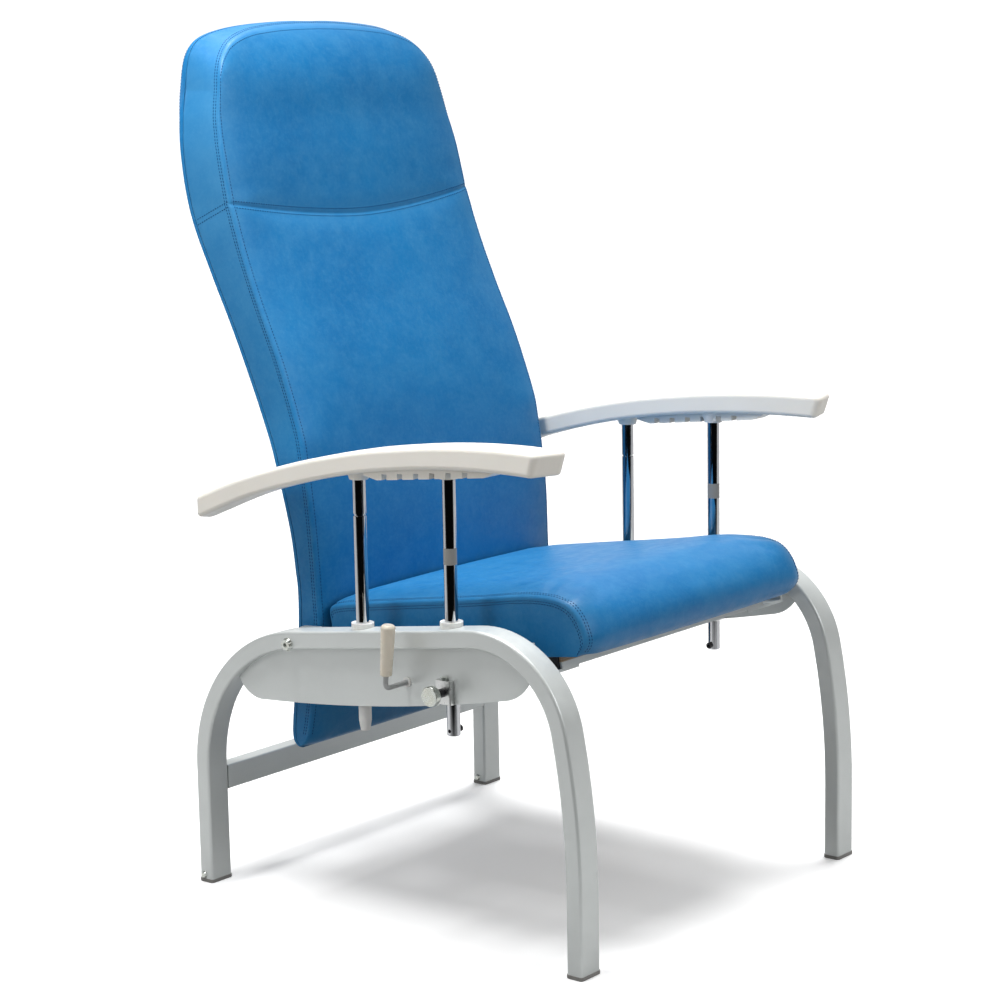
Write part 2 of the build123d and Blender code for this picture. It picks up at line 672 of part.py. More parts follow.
# ---------------------------------------------------------------- gas spring
with BuildPart() as spring_bracket:
    for side in SIDES.values():
        with BuildSketch(Plane.YZ.offset(LUG_GAP if side > 0 else -LUG_GAP - LUG_T)):
            with Locations(SPRING_FRONT):
                Circle(LUG_R)
            with BuildLine():
                seat_y, seat_z = SPRING_FRONT
                Polyline(
                    (seat_y - LUG_R, seat_z), (seat_y + LUG_R, seat_z), (seat_y + LUG_R, seat_z + 40),
                    (seat_y - LUG_R, seat_z + 40), close=True,
                )
            make_face()
        extrude(amount=LUG_T)
    with BuildSketch(SEAT_PLANE.offset(-RAIL_H)):
        with Locations((0, SPRING_RAIL_V)):
            Rectangle(200, 200)
    extrude(amount=60, mode=Mode.SUBTRACT)
    with BuildSketch(SEAT_PLANE.offset(-RAIL_H)):
        with Locations((0, SPRING_RAIL_V)):
            Rectangle(2 * (LUG_GAP + LUG_T + BRACKET_PLATE_EDGE), 2 * LUG_R)
    extrude(amount=-BRACKET_PLATE_T)
    with Locations(across(SPRING_FRONT)):
        Cylinder(FRONT_PIN_R + FIT, THROUGH, mode=Mode.SUBTRACT)
save(spring_bracket, "spring_bracket")

with BuildPart() as spring_pin:
    pin_half = LUG_GAP + LUG_T + 3
    with Locations(across(SPRING_FRONT)):
        Cylinder(FRONT_PIN_R, 2 * pin_half)
    for side in SIDES.values():
        with Locations(along_x(*SPRING_FRONT, side, pin_half - PIN_HEAD_T, pin_half)):
            Cylinder(FRONT_PIN_R + PIN_HEAD_EDGE, PIN_HEAD_T)
save(spring_pin, "spring_pin")

with BuildPart() as gas_cylinder:
    with Locations(across(SPRING_FRONT)):
        Cylinder(EYE_R, 2 * EYE_HALF)
    with BuildSketch(SPRING_AXIS.offset(NECK_START)):
        Rectangle(2 * EYE_HALF, 2 * EYE_HALF)
    extrude(amount=CYL_START - NECK_START)
    with BuildSketch(SPRING_AXIS.offset(CYL_START)):
        Circle(CYL_R)
    extrude(amount=CYL_END - CYL_START)
    with BuildSketch(SPRING_AXIS.offset(CYL_FLOOR)):
        Circle(CYL_BORE_R)
    extrude(amount=CYL_END - CYL_FLOOR, mode=Mode.SUBTRACT)
    with Locations(across(SPRING_FRONT)):
        Cylinder(FRONT_PIN_R + FIT, THROUGH, mode=Mode.SUBTRACT)
save(gas_cylinder, "gas_cylinder")

with BuildPart() as gas_gland:
    with BuildSketch(SPRING_AXIS.offset(CYL_END - GLAND_H)):
        Circle(CYL_BORE_R)
        Circle(ROD_R + FIT, mode=Mode.SUBTRACT)
    extrude(amount=GLAND_H)
save(gas_gland, "gas_gland")

with BuildPart() as gas_rod:
    with BuildSketch(SPRING_AXIS.offset(ROD_START)):
        Circle(ROD_R)
    extrude(amount=ROD_END - ROD_START)
    with BuildSketch(SPRING_AXIS.offset(ROD_START)):
        Circle(PISTON_R)
    extrude(amount=PISTON_H)
save(gas_rod, "gas_rod")

with BuildPart() as gas_rod_eye:
    with Locations(across(SPRING_REAR)):
        Cylinder(EYE_R, 2 * EYE_HALF)
    with BuildSketch(SPRING_AXIS.offset(ROD_END)):
        Circle(NECK_R)
    extrude(amount=NECK_OVERLAP)
    with Locations(across(SPRING_REAR)):
        Cylinder(EYE_HOLE_R, THROUGH, mode=Mode.SUBTRACT)
save(gas_rod_eye, "gas_rod_eye")

with BuildPart() as release_cable:
    with BuildLine() as cable_path:
        Spline(CABLE_PATH, tangents=[(1, 0, 0), (1, 0, 0)])
    cable_start = Plane(origin=cable_path.line @ 0, z_dir=cable_path.line % 0)
    with BuildSketch(cable_start):
        Circle(CABLE_R)
    sweep(path=cable_path.line)
save(release_cable, "release_cable")

with BuildPart() as cable_anchor:
    anchor_x, anchor_y, anchor_z = CABLE_PATH[-1]
    with Locations((anchor_x + ANCHOR_T / 2, anchor_y, anchor_z + ANCHOR_H / 3)):
        Box(ANCHOR_T, ANCHOR_W, ANCHOR_H)
    with BuildSketch(SEAT_PLANE.offset(-RAIL_H)):
        with Locations((anchor_x, SPRING_RAIL_V)):
            Rectangle(THROUGH, THROUGH)
    extrude(amount=THROUGH, mode=Mode.SUBTRACT)
save(cable_anchor, "cable_anchor")


# ---------------------------------------------------------------- backrest
def back_slab(front, rear, top, bottom):
    """Slab between two outlines seen from the side, trimmed to the outline seen from the front."""
    with BuildPart() as slab:
        with BuildSketch(Plane.YZ.offset(-BACK_HALF)):
            with BuildLine():
                Spline(front)
                ThreePointArc(front[-1], top, rear[0])
                Spline(rear)
                ThreePointArc(rear[-1], bottom, front[0])
            make_face()
        extrude(amount=2 * BACK_HALF)
        with BuildSketch(Plane.XZ):
            with BuildLine():
                Line((0, BACK_OUTLINE[0][1]), BACK_OUTLINE[0])
                Spline(BACK_OUTLINE)
                Spline(BACK_CROWN, tangents=[(-0.25, 1), (-1, 0)])
                Line(BACK_CROWN[-1], (0, BACK_OUTLINE[0][1]))
            make_face()
            mirror(about=Plane.YZ)
        extrude(amount=BACK_REACH, both=True, mode=Mode.INTERSECT)
    return slab


def back_tubes(radius):
    """Bent tubes inside the backrest: two side runs, three cross tubes and the two hinge stubs."""
    with BuildPart() as tubes:
        for side in SIDES.values():
            with BuildLine(Plane.YZ.offset(side * BACK_TUBE_X)) as run:
                FilletPolyline(*BACK_TUBE_PATH, radius=BACK_TUBE_RADII)
            with BuildSketch(Plane(origin=run.line @ 0, x_dir=(1, 0, 0), z_dir=run.line % 0)):
                Circle(radius)
            sweep(path=run.line)
            with Locations(along_x(STUB_Y, STUB_Z, side, BACK_TUBE_X, PIVOT_PLATE_IN)):
                Cylinder(radius - 1, PIVOT_PLATE_IN - BACK_TUBE_X)
        for y, z in BACK_CROSS_TUBES:
            with Locations(across((y, z))):
                Cylinder(radius - 2, 2 * BACK_TUBE_X)
    return tubes


tubes = back_tubes(BACK_TUBE_R)
tube_cores = back_tubes(BACK_TUBE_R - BACK_TUBE_WALL)
tube_pocket = back_tubes(BACK_TUBE_R + BACK_POCKET)

with BuildPart() as back_frame:
    add(tubes.part)
    add(tube_cores.part, mode=Mode.SUBTRACT)
    for side in SIDES.values():
        plate_start = PIVOT_PLATE_IN if side > 0 else -PIVOT_PLATE_OUT
        with BuildSketch(Plane.YZ.offset(plate_start)):
            with Locations((PIVOT_Y, PIVOT_Z)):
                Circle(PIVOT_PLATE_R)
            with Locations((STUB_Y, STUB_Z)):
                Circle(PIVOT_PLATE_R)
            make_hull()
        extrude(amount=PIVOT_PLATE_OUT - PIVOT_PLATE_IN)
        with Locations(along_x(PIVOT_Y, PIVOT_Z, side, PIVOT_PLATE_OUT, PIVOT_BOSS_OUT)):
            Cylinder(PIVOT_BOSS_R, PIVOT_BOSS_OUT - PIVOT_PLATE_OUT)
        with Locations(along_x(PIVOT_Y, PIVOT_Z, side, PIVOT_PLATE_IN, PIVOT_BOSS_OUT)):
            Cylinder(PIVOT_R + FIT, PIVOT_BOSS_OUT - PIVOT_PLATE_IN + 2, mode=Mode.SUBTRACT)
    for side in SIDES.values():
        with BuildSketch(Plane.YZ.offset(LUG_GAP if side > 0 else -LUG_GAP - LUG_T)):
            with Locations(SPRING_REAR):
                Circle(LUG_R)
            with Locations(BACK_CROSS_TUBES[0]):
                Circle(BACK_TUBE_R - 3)
            make_hull()
        extrude(amount=LUG_T)
    with Locations(across(SPRING_REAR)):
        Cylinder(SPRING_PIN_R + FIT, THROUGH, mode=Mode.SUBTRACT)
save(back_frame, "back_frame")

with BuildPart() as back_spring_pin:
    pin_half = LUG_GAP + LUG_T + 2
    with Locations(across(SPRING_REAR)):
        Cylinder(SPRING_PIN_R, 2 * pin_half)
    for side in SIDES.values():
        with Locations(along_x(*SPRING_REAR, side, pin_half - CLIP_T, pin_half)):
            Cylinder(SPRING_PIN_R + CLIP_EDGE, CLIP_T)
save(back_spring_pin, "back_spring_pin")

shell_line = [(y - BACK_SHELL_T, z) for y, z in BACK_REAR]
slab = back_slab(BACK_FRONT, shell_line, CUSHION_CREST, BACK_BOTTOM)
with BuildPart() as back_cushion:
    add(slab.part)
    add(tube_pocket.part, mode=Mode.SUBTRACT)
    for side in SIDES.values():
        with Locations(along_x(PIVOT_Y, PIVOT_Z, side, BACK_HALF - 1, PIVOT_PLATE_IN)):
            Cylinder(PIVOT_R + 1, 20, mode=Mode.SUBTRACT)
    with Locations((0, *SLOT_CENTRE)):
        Box(SLOT_W, SLOT_DEPTH, SLOT_H, mode=Mode.SUBTRACT)
save(back_cushion, "back_cushion")

whole = back_slab(BACK_FRONT, BACK_REAR, BACK_CREST, BACK_BOTTOM)
with BuildPart() as back_panel:
    add(whole.part)
    add(slab.part, mode=Mode.SUBTRACT)
    add(tube_pocket.part, mode=Mode.SUBTRACT)
save(back_panel, "back_panel")

# ---------------------------------------------------------------- armrests
for tag, side in SIDES.items():
    post_x = side * POST_X
    with BuildPart() as arm_front_post:
        with Locations((post_x, FRONT_POST_Y, (FRONT_POST_LOW + FRONT_POST_TOP) / 2)):
            Cylinder(POST_R, FRONT_POST_TOP - FRONT_POST_LOW)
        chamfer(arm_front_post.faces().sort_by(Axis.Z)[0].edges(), 1)
        turn = radians(GROOVE_TURN)
        reach = POST_R - GROOVE_DEPTH / 2
        groove_at = Location(
            (
                post_x + side * reach * cos(turn),
                FRONT_POST_Y - reach * sin(turn),
                (FRONT_POST_LOW + GROOVE_TOP) / 2,
            ),
            (0, 0, -side * GROOVE_TURN),
        )
        with Locations(groove_at):
            Box(GROOVE_DEPTH, GROOVE_W, GROOVE_TOP - FRONT_POST_LOW, mode=Mode.SUBTRACT)
        with Locations(Location((post_x, FRONT_POST_Y, STOP_Z), (0, 90, 0))):
            Cylinder(STOP_R, 3 * POST_R, mode=Mode.SUBTRACT)
        with BuildSketch(Plane.XY.offset(LABEL_Z - LABEL_H / 2)):
            with Locations((post_x, FRONT_POST_Y)):
                Circle(POST_R + 1)
                Circle(POST_R - LABEL_T, mode=Mode.SUBTRACT)
        extrude(amount=LABEL_H, mode=Mode.SUBTRACT)
        with Locations((post_x, FRONT_POST_Y, FRONT_POST_TOP - ARM_SCREW_DEPTH / 2)):
            Cylinder(ARM_SCREW_R, ARM_SCREW_DEPTH, mode=Mode.SUBTRACT)
    save(arm_front_post, f"arm_front_post_{tag}")

    with BuildPart() as arm_post_label:
        with BuildSketch(Plane.XY.offset(LABEL_Z - LABEL_H / 2)):
            with Locations((post_x, FRONT_POST_Y)):
                Circle(POST_R)
                Circle(POST_R - LABEL_T, mode=Mode.SUBTRACT)
        extrude(amount=LABEL_H)
    save(arm_post_label, f"arm_post_label_{tag}")

    with BuildPart() as arm_stop_screw:
        head_in = POST_X - POST_R - STOP_HEAD_H
        with Locations(along_x(FRONT_POST_Y, STOP_Z, side, POST_X - POST_R, POST_X + STOP_REACH)):
            Cylinder(STOP_R, POST_R + STOP_REACH)
        with Locations(along_x(FRONT_POST_Y, STOP_Z, side, head_in, POST_X - POST_R)):
            Cylinder(STOP_HEAD_R, STOP_HEAD_H)
        with BuildSketch(Plane(origin=(side * head_in, FRONT_POST_Y, STOP_Z), z_dir=(side, 0, 0))):
            RegularPolygon(STOP_SOCKET_R, 6)
        extrude(amount=STOP_SOCKET_DEPTH, mode=Mode.SUBTRACT)
    save(arm_stop_screw, f"arm_stop_screw_{tag}")

    with BuildPart() as arm_rear_post:
        with Locations((post_x, REAR_POST_Y, (REAR_POST_LOW + REAR_POST_TOP) / 2)):
            Cylinder(POST_R, REAR_POST_TOP - REAR_POST_LOW)
        with BuildSketch(Plane.XY.offset(RING_Z)):
            with Locations((post_x, REAR_POST_Y)):
                Circle(POST_R + 1)
                Circle(POST_R - RING_DEPTH, mode=Mode.SUBTRACT)
        extrude(amount=RING_W, mode=Mode.SUBTRACT)
        with Locations((post_x, REAR_POST_Y, REAR_POST_LOW + TIP_SPIGOT_H / 2)):
            Cylinder(TIP_SPIGOT_R, TIP_SPIGOT_H, mode=Mode.SUBTRACT)
        with Locations((post_x, REAR_POST_Y, REAR_POST_TOP - ARM_SCREW_DEPTH / 2)):
            Cylinder(ARM_SCREW_R, ARM_SCREW_DEPTH, mode=Mode.SUBTRACT)
    save(arm_rear_post, f"arm_rear_post_{tag}")

    with BuildPart() as arm_post_tip:
        with Locations((post_x, REAR_POST_Y, REAR_POST_LOW + TIP_SPIGOT_H / 2)):
            Cylinder(TIP_SPIGOT_R, TIP_SPIGOT_H)
        with Locations((post_x, REAR_POST_Y, (TIP_SHOULDER + REAR_POST_LOW) / 2)):
            Cylinder(POST_R - TIP_INSET, REAR_POST_LOW - TIP_SHOULDER)
        with Locations((post_x, REAR_POST_Y, (TIP_LOW + TIP_SHOULDER) / 2)):
            Cone(TIP_R, POST_R - TIP_INSET, TIP_SHOULDER - TIP_LOW)
    save(arm_post_tip, f"arm_post_tip_{tag}")

    plate_up = (0, PLATE_RISE / sqrt(1 + PLATE_RISE**2), 1 / sqrt(1 + PLATE_RISE**2))
    plate_plane = Plane(origin=(post_x, REAR_POST_Y, PLATE_Z), x_dir=(1, 0, 0), z_dir=plate_up)
    span = (REAR_POST_Y - FRONT_POST_Y) * sqrt(1 + PLATE_RISE**2)
    with BuildPart() as arm_plate:
        with BuildSketch(plate_plane.offset(-PLATE_T)):
            with Locations((0, -span / 2)):
                RectangleRounded(PLATE_W, span + 2 * PLATE_END, PLATE_CORNER_R)
        extrude(amount=PLATE_T)
        for post_y in (REAR_POST_Y, FRONT_POST_Y):
            with Locations((post_x, post_y, PLATE_Z)):
                Cylinder(ARM_SCREW_R + SCREW_GAP, THROUGH, mode=Mode.SUBTRACT)
    save(arm_plate, f"arm_plate_{tag}")

    with BuildPart() as arm_screws:
        for post_y, post_top in ((REAR_POST_Y, REAR_POST_TOP), (FRONT_POST_Y, FRONT_POST_TOP)):
            head_low = PLATE_Z + PLATE_RISE * (REAR_POST_Y - post_y + ARM_SCREW_HEAD_R) + 0.1
            shank_low = post_top - ARM_SCREW_DEPTH
            with Locations((post_x, post_y, (shank_low + head_low) / 2)):
                Cylinder(ARM_SCREW_R, head_low - shank_low)
            with Locations((post_x, post_y, head_low + ARM_SCREW_HEAD_H / 2)):
                Cylinder(ARM_SCREW_HEAD_R, ARM_SCREW_HEAD_H)
    save(arm_screws, f"arm_screws_{tag}")

    with BuildPart() as arm_pad:
        with BuildSketch(Plane.YZ.offset(side * POST_X - 60)):
            with BuildLine():
                Spline(PAD_TOP)
                Line(PAD_TOP[-1], PAD_UNDER[0])
                Spline(PAD_UNDER)
                Line(PAD_UNDER[-1], PAD_TOP[0])
            make_face()
        extrude(amount=120)
        with BuildSketch(Plane.XY.offset(500)):
            with BuildLine():
                Spline([(side * x, y) for x, y in PAD_INNER])
                Spline([(side * x, y) for x, y in PAD_OUTER])
                Line((side * PAD_INNER[-1][0], PAD_INNER[-1][1]), (side * PAD_OUTER[0][0], PAD_OUTER[0][1]))
                Line((side * PAD_OUTER[-1][0], PAD_OUTER[-1][1]), (side * PAD_INNER[0][0], PAD_INNER[0][1]))
            make_face()
        extrude(amount=250, mode=Mode.INTERSECT)
        inner = Vector(side * PAD_FRONT_INNER[0], *PAD_FRONT_INNER[1:])
        outer = Vector(side * PAD_FRONT_OUTER[0], *PAD_FRONT_OUTER[1:])
        lower = Vector(side * PAD_FRONT_LOW[0], *PAD_FRONT_LOW[1:])
        rearward = (outer - inner).cross(lower - inner) * side
        split(bisect_by=Plane(origin=inner, z_dir=rearward), keep=Keep.TOP)
        end_edges = []
        for edge in arm_pad.edges():
            extent = edge.bounding_box().size
            if extent.Z > PAD_END_MIN_H and extent.Y < PAD_END_MAX_RUN:
                end_edges.append(edge)
        fillet(end_edges, PAD_CORNER_R)
        fillet(arm_pad.edges(), PAD_EDGE_R)
        rack_start = RACK_IN if side > 0 else -RACK_OUT
        with BuildSketch(Plane.YZ.offset(rack_start)):
            Polygon(*RACK_OUTLINE, align=None)
        extrude(amount=RACK_OUT - RACK_IN)
        for notch in range(NOTCH_COUNT):
            notch_y = NOTCH_FIRST + notch / (NOTCH_COUNT - 1) * (NOTCH_LAST - NOTCH_FIRST)
            share = (notch_y - RACK_REAR[0]) / (RACK_FRONT[0] - RACK_REAR[0])
            notch_z = RACK_REAR[1] + share * (RACK_FRONT[1] - RACK_REAR[1])
            with BuildSketch(Plane.YZ.offset(rack_start)):
                with Locations((notch_y, notch_z)):
                    Rectangle(NOTCH_W, 2 * NOTCH_H)
            extrude(amount=RACK_OUT - RACK_IN, mode=Mode.SUBTRACT)
        for post_y, boss_z in ((REAR_POST_Y, REAR_BOSS_Z), (FRONT_POST_Y, FRONT_BOSS_Z)):
            with Locations((post_x, post_y, boss_z + BOSS_H / 2)):
                Cone(BOSS_R, BOSS_BASE_R, BOSS_H)
        add(arm_front_post.part, mode=Mode.SUBTRACT)
        add(arm_rear_post.part, mode=Mode.SUBTRACT)
        add(arm_plate.part, mode=Mode.SUBTRACT)
        add(arm_screws.part, mode=Mode.SUBTRACT)
        for post_y, post_top in ((REAR_POST_Y, REAR_POST_TOP), (FRONT_POST_Y, FRONT_POST_TOP)):
            with Locations((post_x, post_y, post_top)):
                Cylinder(POST_R, PAD_POCKET, mode=Mode.SUBTRACT)
            with Locations((post_x, post_y, post_top - ARM_SCREW_DEPTH)):
                Cylinder(ARM_SCREW_R + SCREW_GAP, 2 * ARM_SCREW_DEPTH, mode=Mode.SUBTRACT)
    save(arm_pad, f"arm_pad_{tag}")

    with BuildPart() as plunger_pin:
        with Locations(along_x(FRONT_POST_Y, LOCK_PIN_Z, side, PIN_TIP, KNOB_IN)):
            Cylinder(PIN_R, KNOB_IN - PIN_TIP)
        collar_in = body_in + COLLAR_GAP
        with Locations(along_x(FRONT_POST_Y, LOCK_PIN_Z, side, collar_in, collar_in + COLLAR_T)):
            Cylinder(BODY_BORE_R - COLLAR_GAP, COLLAR_T)
    save(plunger_pin, f"plunger_pin_{tag}")

    with BuildPart() as plunger_knob:
        knob_face = Plane(origin=(side * KNOB_IN, FRONT_POST_Y, LOCK_PIN_Z), z_dir=(side, 0, 0))
        with BuildSketch(knob_face):
            Circle(KNOB_R)
        extrude(amount=KNOB_OUT - KNOB_IN)
        fillet(plunger_knob.edges(), KNOB_EDGE_R)
    save(plunger_knob, f"plunger_knob_{tag}")

    with BuildPart() as plunger_spring:
        with BuildLine() as coil:
            Helix(
                pitch=SPRING_LEN / SPRING_TURNS,
                height=SPRING_LEN,
                radius=SPRING_R,
                center=(side * SPRING_START, FRONT_POST_Y, LOCK_PIN_Z),
                direction=(side, 0, 0),
            )
        with BuildSketch(Plane(origin=coil.line @ 0, z_dir=coil.line % 0)):
            Circle(SPRING_WIRE_R)
        sweep(path=coil.line, is_frenet=True)
    save(plunger_spring, f"plunger_spring_{tag}")

# ---------------------------------------------------------------- recline lever
with BuildPart() as lever_rod:
    rise = GRIP_TOP - GRIP_COVER - LEVER_Z
    with BuildLine() as rod_path:
        FilletPolyline(
            (-LEVER_IN, LEVER_Y, LEVER_Z),
            (-LEVER_X, LEVER_Y, LEVER_Z),
            (-LEVER_X, LEVER_Y - GRIP_LEAN * rise, LEVER_Z + rise),
            radius=LEVER_BEND_R,
        )
    with BuildSketch(Plane(origin=rod_path.line @ 0, z_dir=rod_path.line % 0)):
        Circle(LEVER_R)
    sweep(path=rod_path.line)
    with BuildSketch(Plane.YZ.offset(-LEVER_IN - RELEASE_ARM_T)):
        with Locations((LEVER_Y, LEVER_Z)):
            Circle(RELEASE_ARM_R)
        with Locations((LEVER_Y + RELEASE_ARM_TIP[0], LEVER_Z + RELEASE_ARM_TIP[1])):
            Circle(RELEASE_ARM_TIP_R)
        make_hull()
    extrude(amount=RELEASE_ARM_T)
save(lever_rod, "lever_rod")

with BuildPart() as lever_grip:
    grip_axis = Plane(
        origin=(-LEVER_X, LEVER_Y - GRIP_LEAN * (GRIP_LOW - LEVER_Z), GRIP_LOW),
        x_dir=(1, 0, 0),
        z_dir=(0, -GRIP_LEAN, 1),
    )
    with BuildSketch(grip_axis):
        Circle(GRIP_R_LOW)
    with BuildSketch(grip_axis.offset(GRIP_TOP - GRIP_LOW)):
        Circle(GRIP_R_TOP)
    loft()
    fillet(lever_grip.faces().sort_by(Axis.Z)[-1].edges(), GRIP_TOP_EDGE_R)
    fillet(lever_grip.faces().sort_by(Axis.Z)[0].edges(), GRIP_LOW_EDGE_R)
    add(lever_rod.part, mode=Mode.SUBTRACT)
save(lever_grip, "lever_grip")
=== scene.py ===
import json
import math

import bmesh
import bpy
import numpy as np
from mathutils import Matrix, Vector
from mathutils.bvhtree import BVHTree
from mathutils.kdtree import KDTree


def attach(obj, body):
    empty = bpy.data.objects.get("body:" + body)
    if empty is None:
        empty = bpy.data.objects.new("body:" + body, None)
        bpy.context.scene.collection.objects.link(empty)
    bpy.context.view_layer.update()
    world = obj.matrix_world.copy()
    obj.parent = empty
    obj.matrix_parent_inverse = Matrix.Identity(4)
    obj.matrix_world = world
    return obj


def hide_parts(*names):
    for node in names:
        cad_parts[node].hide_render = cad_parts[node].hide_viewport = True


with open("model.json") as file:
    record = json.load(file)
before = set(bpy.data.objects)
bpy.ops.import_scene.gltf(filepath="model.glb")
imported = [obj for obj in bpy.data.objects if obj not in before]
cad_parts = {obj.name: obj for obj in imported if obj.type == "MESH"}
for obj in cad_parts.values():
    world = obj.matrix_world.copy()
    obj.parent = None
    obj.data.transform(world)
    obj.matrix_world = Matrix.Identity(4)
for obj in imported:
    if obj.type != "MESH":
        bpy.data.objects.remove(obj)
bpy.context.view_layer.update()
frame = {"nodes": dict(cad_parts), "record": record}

MM = 0.001
scene = bpy.context.scene


# ------------------------------------------------------------------ materials
class Shader:
    """A node material with one Principled shader and a few helpers."""

    def __init__(self, name):
        self.material = bpy.data.materials.new(name)
        self.material.use_nodes = True
        self.tree = self.material.node_tree
        self.tree.nodes.clear()
        self.output = self.node("ShaderNodeOutputMaterial")
        self.surface = self.node("ShaderNodeBsdfPrincipled")
        self.link(self.surface.outputs["BSDF"], self.output.inputs["Surface"])
        self.place = self.node("ShaderNodeTexCoord").outputs["Object"]

    def node(self, kind, **inputs):
        made = self.tree.nodes.new(kind)
        for key, value in inputs.items():
            made.inputs[key].default_value = value
        return made

    def link(self, source, target):
        self.tree.links.new(source, target)

    def set(self, **values):
        for key, value in values.items():
            self.surface.inputs[key.replace("_", " ")].default_value = value

    def scaled(self, scale):
        mapping = self.node("ShaderNodeMapping")
        mapping.inputs["Scale"].default_value = scale
        self.link(self.place, mapping.inputs["Vector"])
        return mapping.outputs["Vector"]

    def noise(self, scale, detail=3.0, rough=0.5, stretch=(1, 1, 1)):
        made = self.node("ShaderNodeTexNoise", Scale=scale, Detail=detail, Roughness=rough)
        self.link(self.scaled(stretch), made.inputs["Vector"])
        return made.outputs["Fac"]

    def ramp(self, value, low, high, out_low, out_high):
        made = self.node("ShaderNodeMapRange")
        made.inputs["From Min"].default_value = low
        made.inputs["From Max"].default_value = high
        made.inputs["To Min"].default_value = out_low
        made.inputs["To Max"].default_value = out_high
        self.link(value, made.inputs["Value"])
        return made.outputs["Result"]

    def mix(self, factor, first, second, blend="MIX"):
        made = self.tree.nodes.new("ShaderNodeMix")
        made.data_type = "RGBA"
        made.blend_type = blend
        factor_in, first_in, second_in = made.inputs[0], made.inputs[6], made.inputs[7]
        for socket, value in ((factor_in, factor), (first_in, first), (second_in, second)):
            if hasattr(value, "links"):
                self.link(value, socket)
            elif isinstance(value, (int, float)):
                socket.default_value = value
            else:
                socket.default_value = (*value, 1.0)
        return made.outputs[2]

    def color(self, value):
        self.link(value, self.surface.inputs["Base Color"])

    def rough(self, value):
        self.link(value, self.surface.inputs["Roughness"])

    def bump(self, height, strength, distance, under=None):
        made = self.node("ShaderNodeBump", Strength=strength, Distance=distance)
        self.link(height, made.inputs["Height"])
        if under is not None:
            self.link(under, made.inputs["Normal"])
        self.link(made.outputs["Normal"], self.surface.inputs["Normal"])
        return made.outputs["Normal"]

    def edges(self, low=0.52, high=0.62):
        """1 on convex edges, 0 on flats."""
        geometry = self.node("ShaderNodeNewGeometry")
        return self.ramp(geometry.outputs["Pointiness"], low, high, 0.0, 1.0)

    def hollow_shade(self, reach):
        """Ambient occlusion, used to paint shade into colour: 1 in the open, towards 0 in seams and
        corners.
        """
        made = self.node("ShaderNodeAmbientOcclusion", Distance=reach)
        made.samples = 4
        return made.outputs["AO"]


def scaled_colour(color, factor):
    """A colour made darker or lighter, kept at 1 or under."""
    return tuple(min(1.0, factor * c) for c in color)


PEBBLE_SCALE = 820.0
PEBBLE_WOBBLE = 0.0016


def vinyl(name, base, deep, light):
    """Smooth coated upholstery: a warped pebble grain, mottled tone, rubbed edges, painted shade in the
    seams, and lighter bands from a per-point attribute (rubbed wear, plus a painted sheen on the
    backrest).
    """
    m = Shader(name)
    cells = m.node("ShaderNodeTexVoronoi", Scale=PEBBLE_SCALE)
    cells.feature = "DISTANCE_TO_EDGE"
    wobble = m.node("ShaderNodeTexNoise", Scale=260.0, Detail=2.0)
    m.link(m.place, wobble.inputs["Vector"])
    warped = m.node("ShaderNodeVectorMath")
    warped.operation = "MULTIPLY_ADD"
    m.link(wobble.outputs["Color"], warped.inputs[0])
    warped.inputs[1].default_value = (PEBBLE_WOBBLE, PEBBLE_WOBBLE, PEBBLE_WOBBLE)
    m.link(m.place, warped.inputs[2])
    m.link(warped.outputs["Vector"], cells.inputs["Vector"])
    grain = m.ramp(cells.outputs["Distance"], 0.0, 0.25, 0.0, 1.0)
    tone = m.mix(m.ramp(m.noise(4.0, 4.0, 0.6), 0.36, 0.66, 0.0, 0.8), base, deep)
    tone = m.mix(m.ramp(m.noise(26.0, 8.0, 0.75), 0.42, 0.7, 0.0, 0.3), tone, light)
    tone = m.mix(m.ramp(m.noise(150.0, 5.0, 0.7), 0.45, 0.7, 0.0, 0.2), tone, light)
    # lighter where the per-point attribute is set: rubbed bands beside the seams, and on the backrest a
    # painted sheen high on the side gusset
    wear_and_sheen = m.tree.nodes.new("ShaderNodeAttribute")
    wear_and_sheen.attribute_name = "wear_and_sheen"
    tone = m.mix(m.ramp(wear_and_sheen.outputs["Fac"], 0.0, 1.0, 0.0, 0.42), tone, light)
    tone = m.mix(m.ramp(grain, 0.0, 1.0, 0.12, 0.0), tone, deep)
    tone = m.mix(m.ramp(m.edges(), 0.0, 1.0, 0.0, 0.18), tone, light)
    # painted shade: seams and hollows darkened towards deep blue by ambient occlusion
    tone = m.mix(m.ramp(m.hollow_shade(0.010), 0.2, 0.9, 0.5, 0.0), tone, scaled_colour(deep, 0.3))
    m.color(tone)
    m.rough(m.ramp(m.noise(60.0), 0.3, 0.7, 0.36, 0.5))
    m.set(Coat_Weight=0.04, Coat_Roughness=0.35, Sheen_Weight=0.03, Specular_IOR_Level=0.26)
    soft = m.bump(m.noise(22.0, 3.0), 0.12, 0.004)
    m.bump(grain, 0.16, 0.0002, soft)
    return m.material


def powder(name, base, metal=0.35, gloss=(0.34, 0.46)):
    """Metallic powder coat with orange peel and slightly rubbed edges."""
    m = Shader(name)
    flake = m.ramp(m.noise(3800.0, 1.0), 0.42, 0.62, 0.0, 1.0)
    tone = m.mix(m.ramp(m.noise(7.0, 3.0), 0.3, 0.7, 0.0, 0.5), base, scaled_colour(base, 0.9))
    tone = m.mix(m.ramp(flake, 0.0, 1.0, 0.0, 0.22), tone, scaled_colour(base, 1.3))
    rubbed = m.ramp(m.edges(0.54, 0.66), 0.0, 1.0, 0.0, 0.25)
    tone = m.mix(rubbed, tone, scaled_colour(base, 1.25))
    m.color(tone)
    m.rough(m.ramp(m.noise(90.0, 4.0), 0.3, 0.7, *gloss))
    m.set(Metallic=metal, Coat_Weight=0.25, Coat_Roughness=0.28)
    m.bump(m.noise(520.0, 2.0), 0.06, 0.0003)
    return m.material


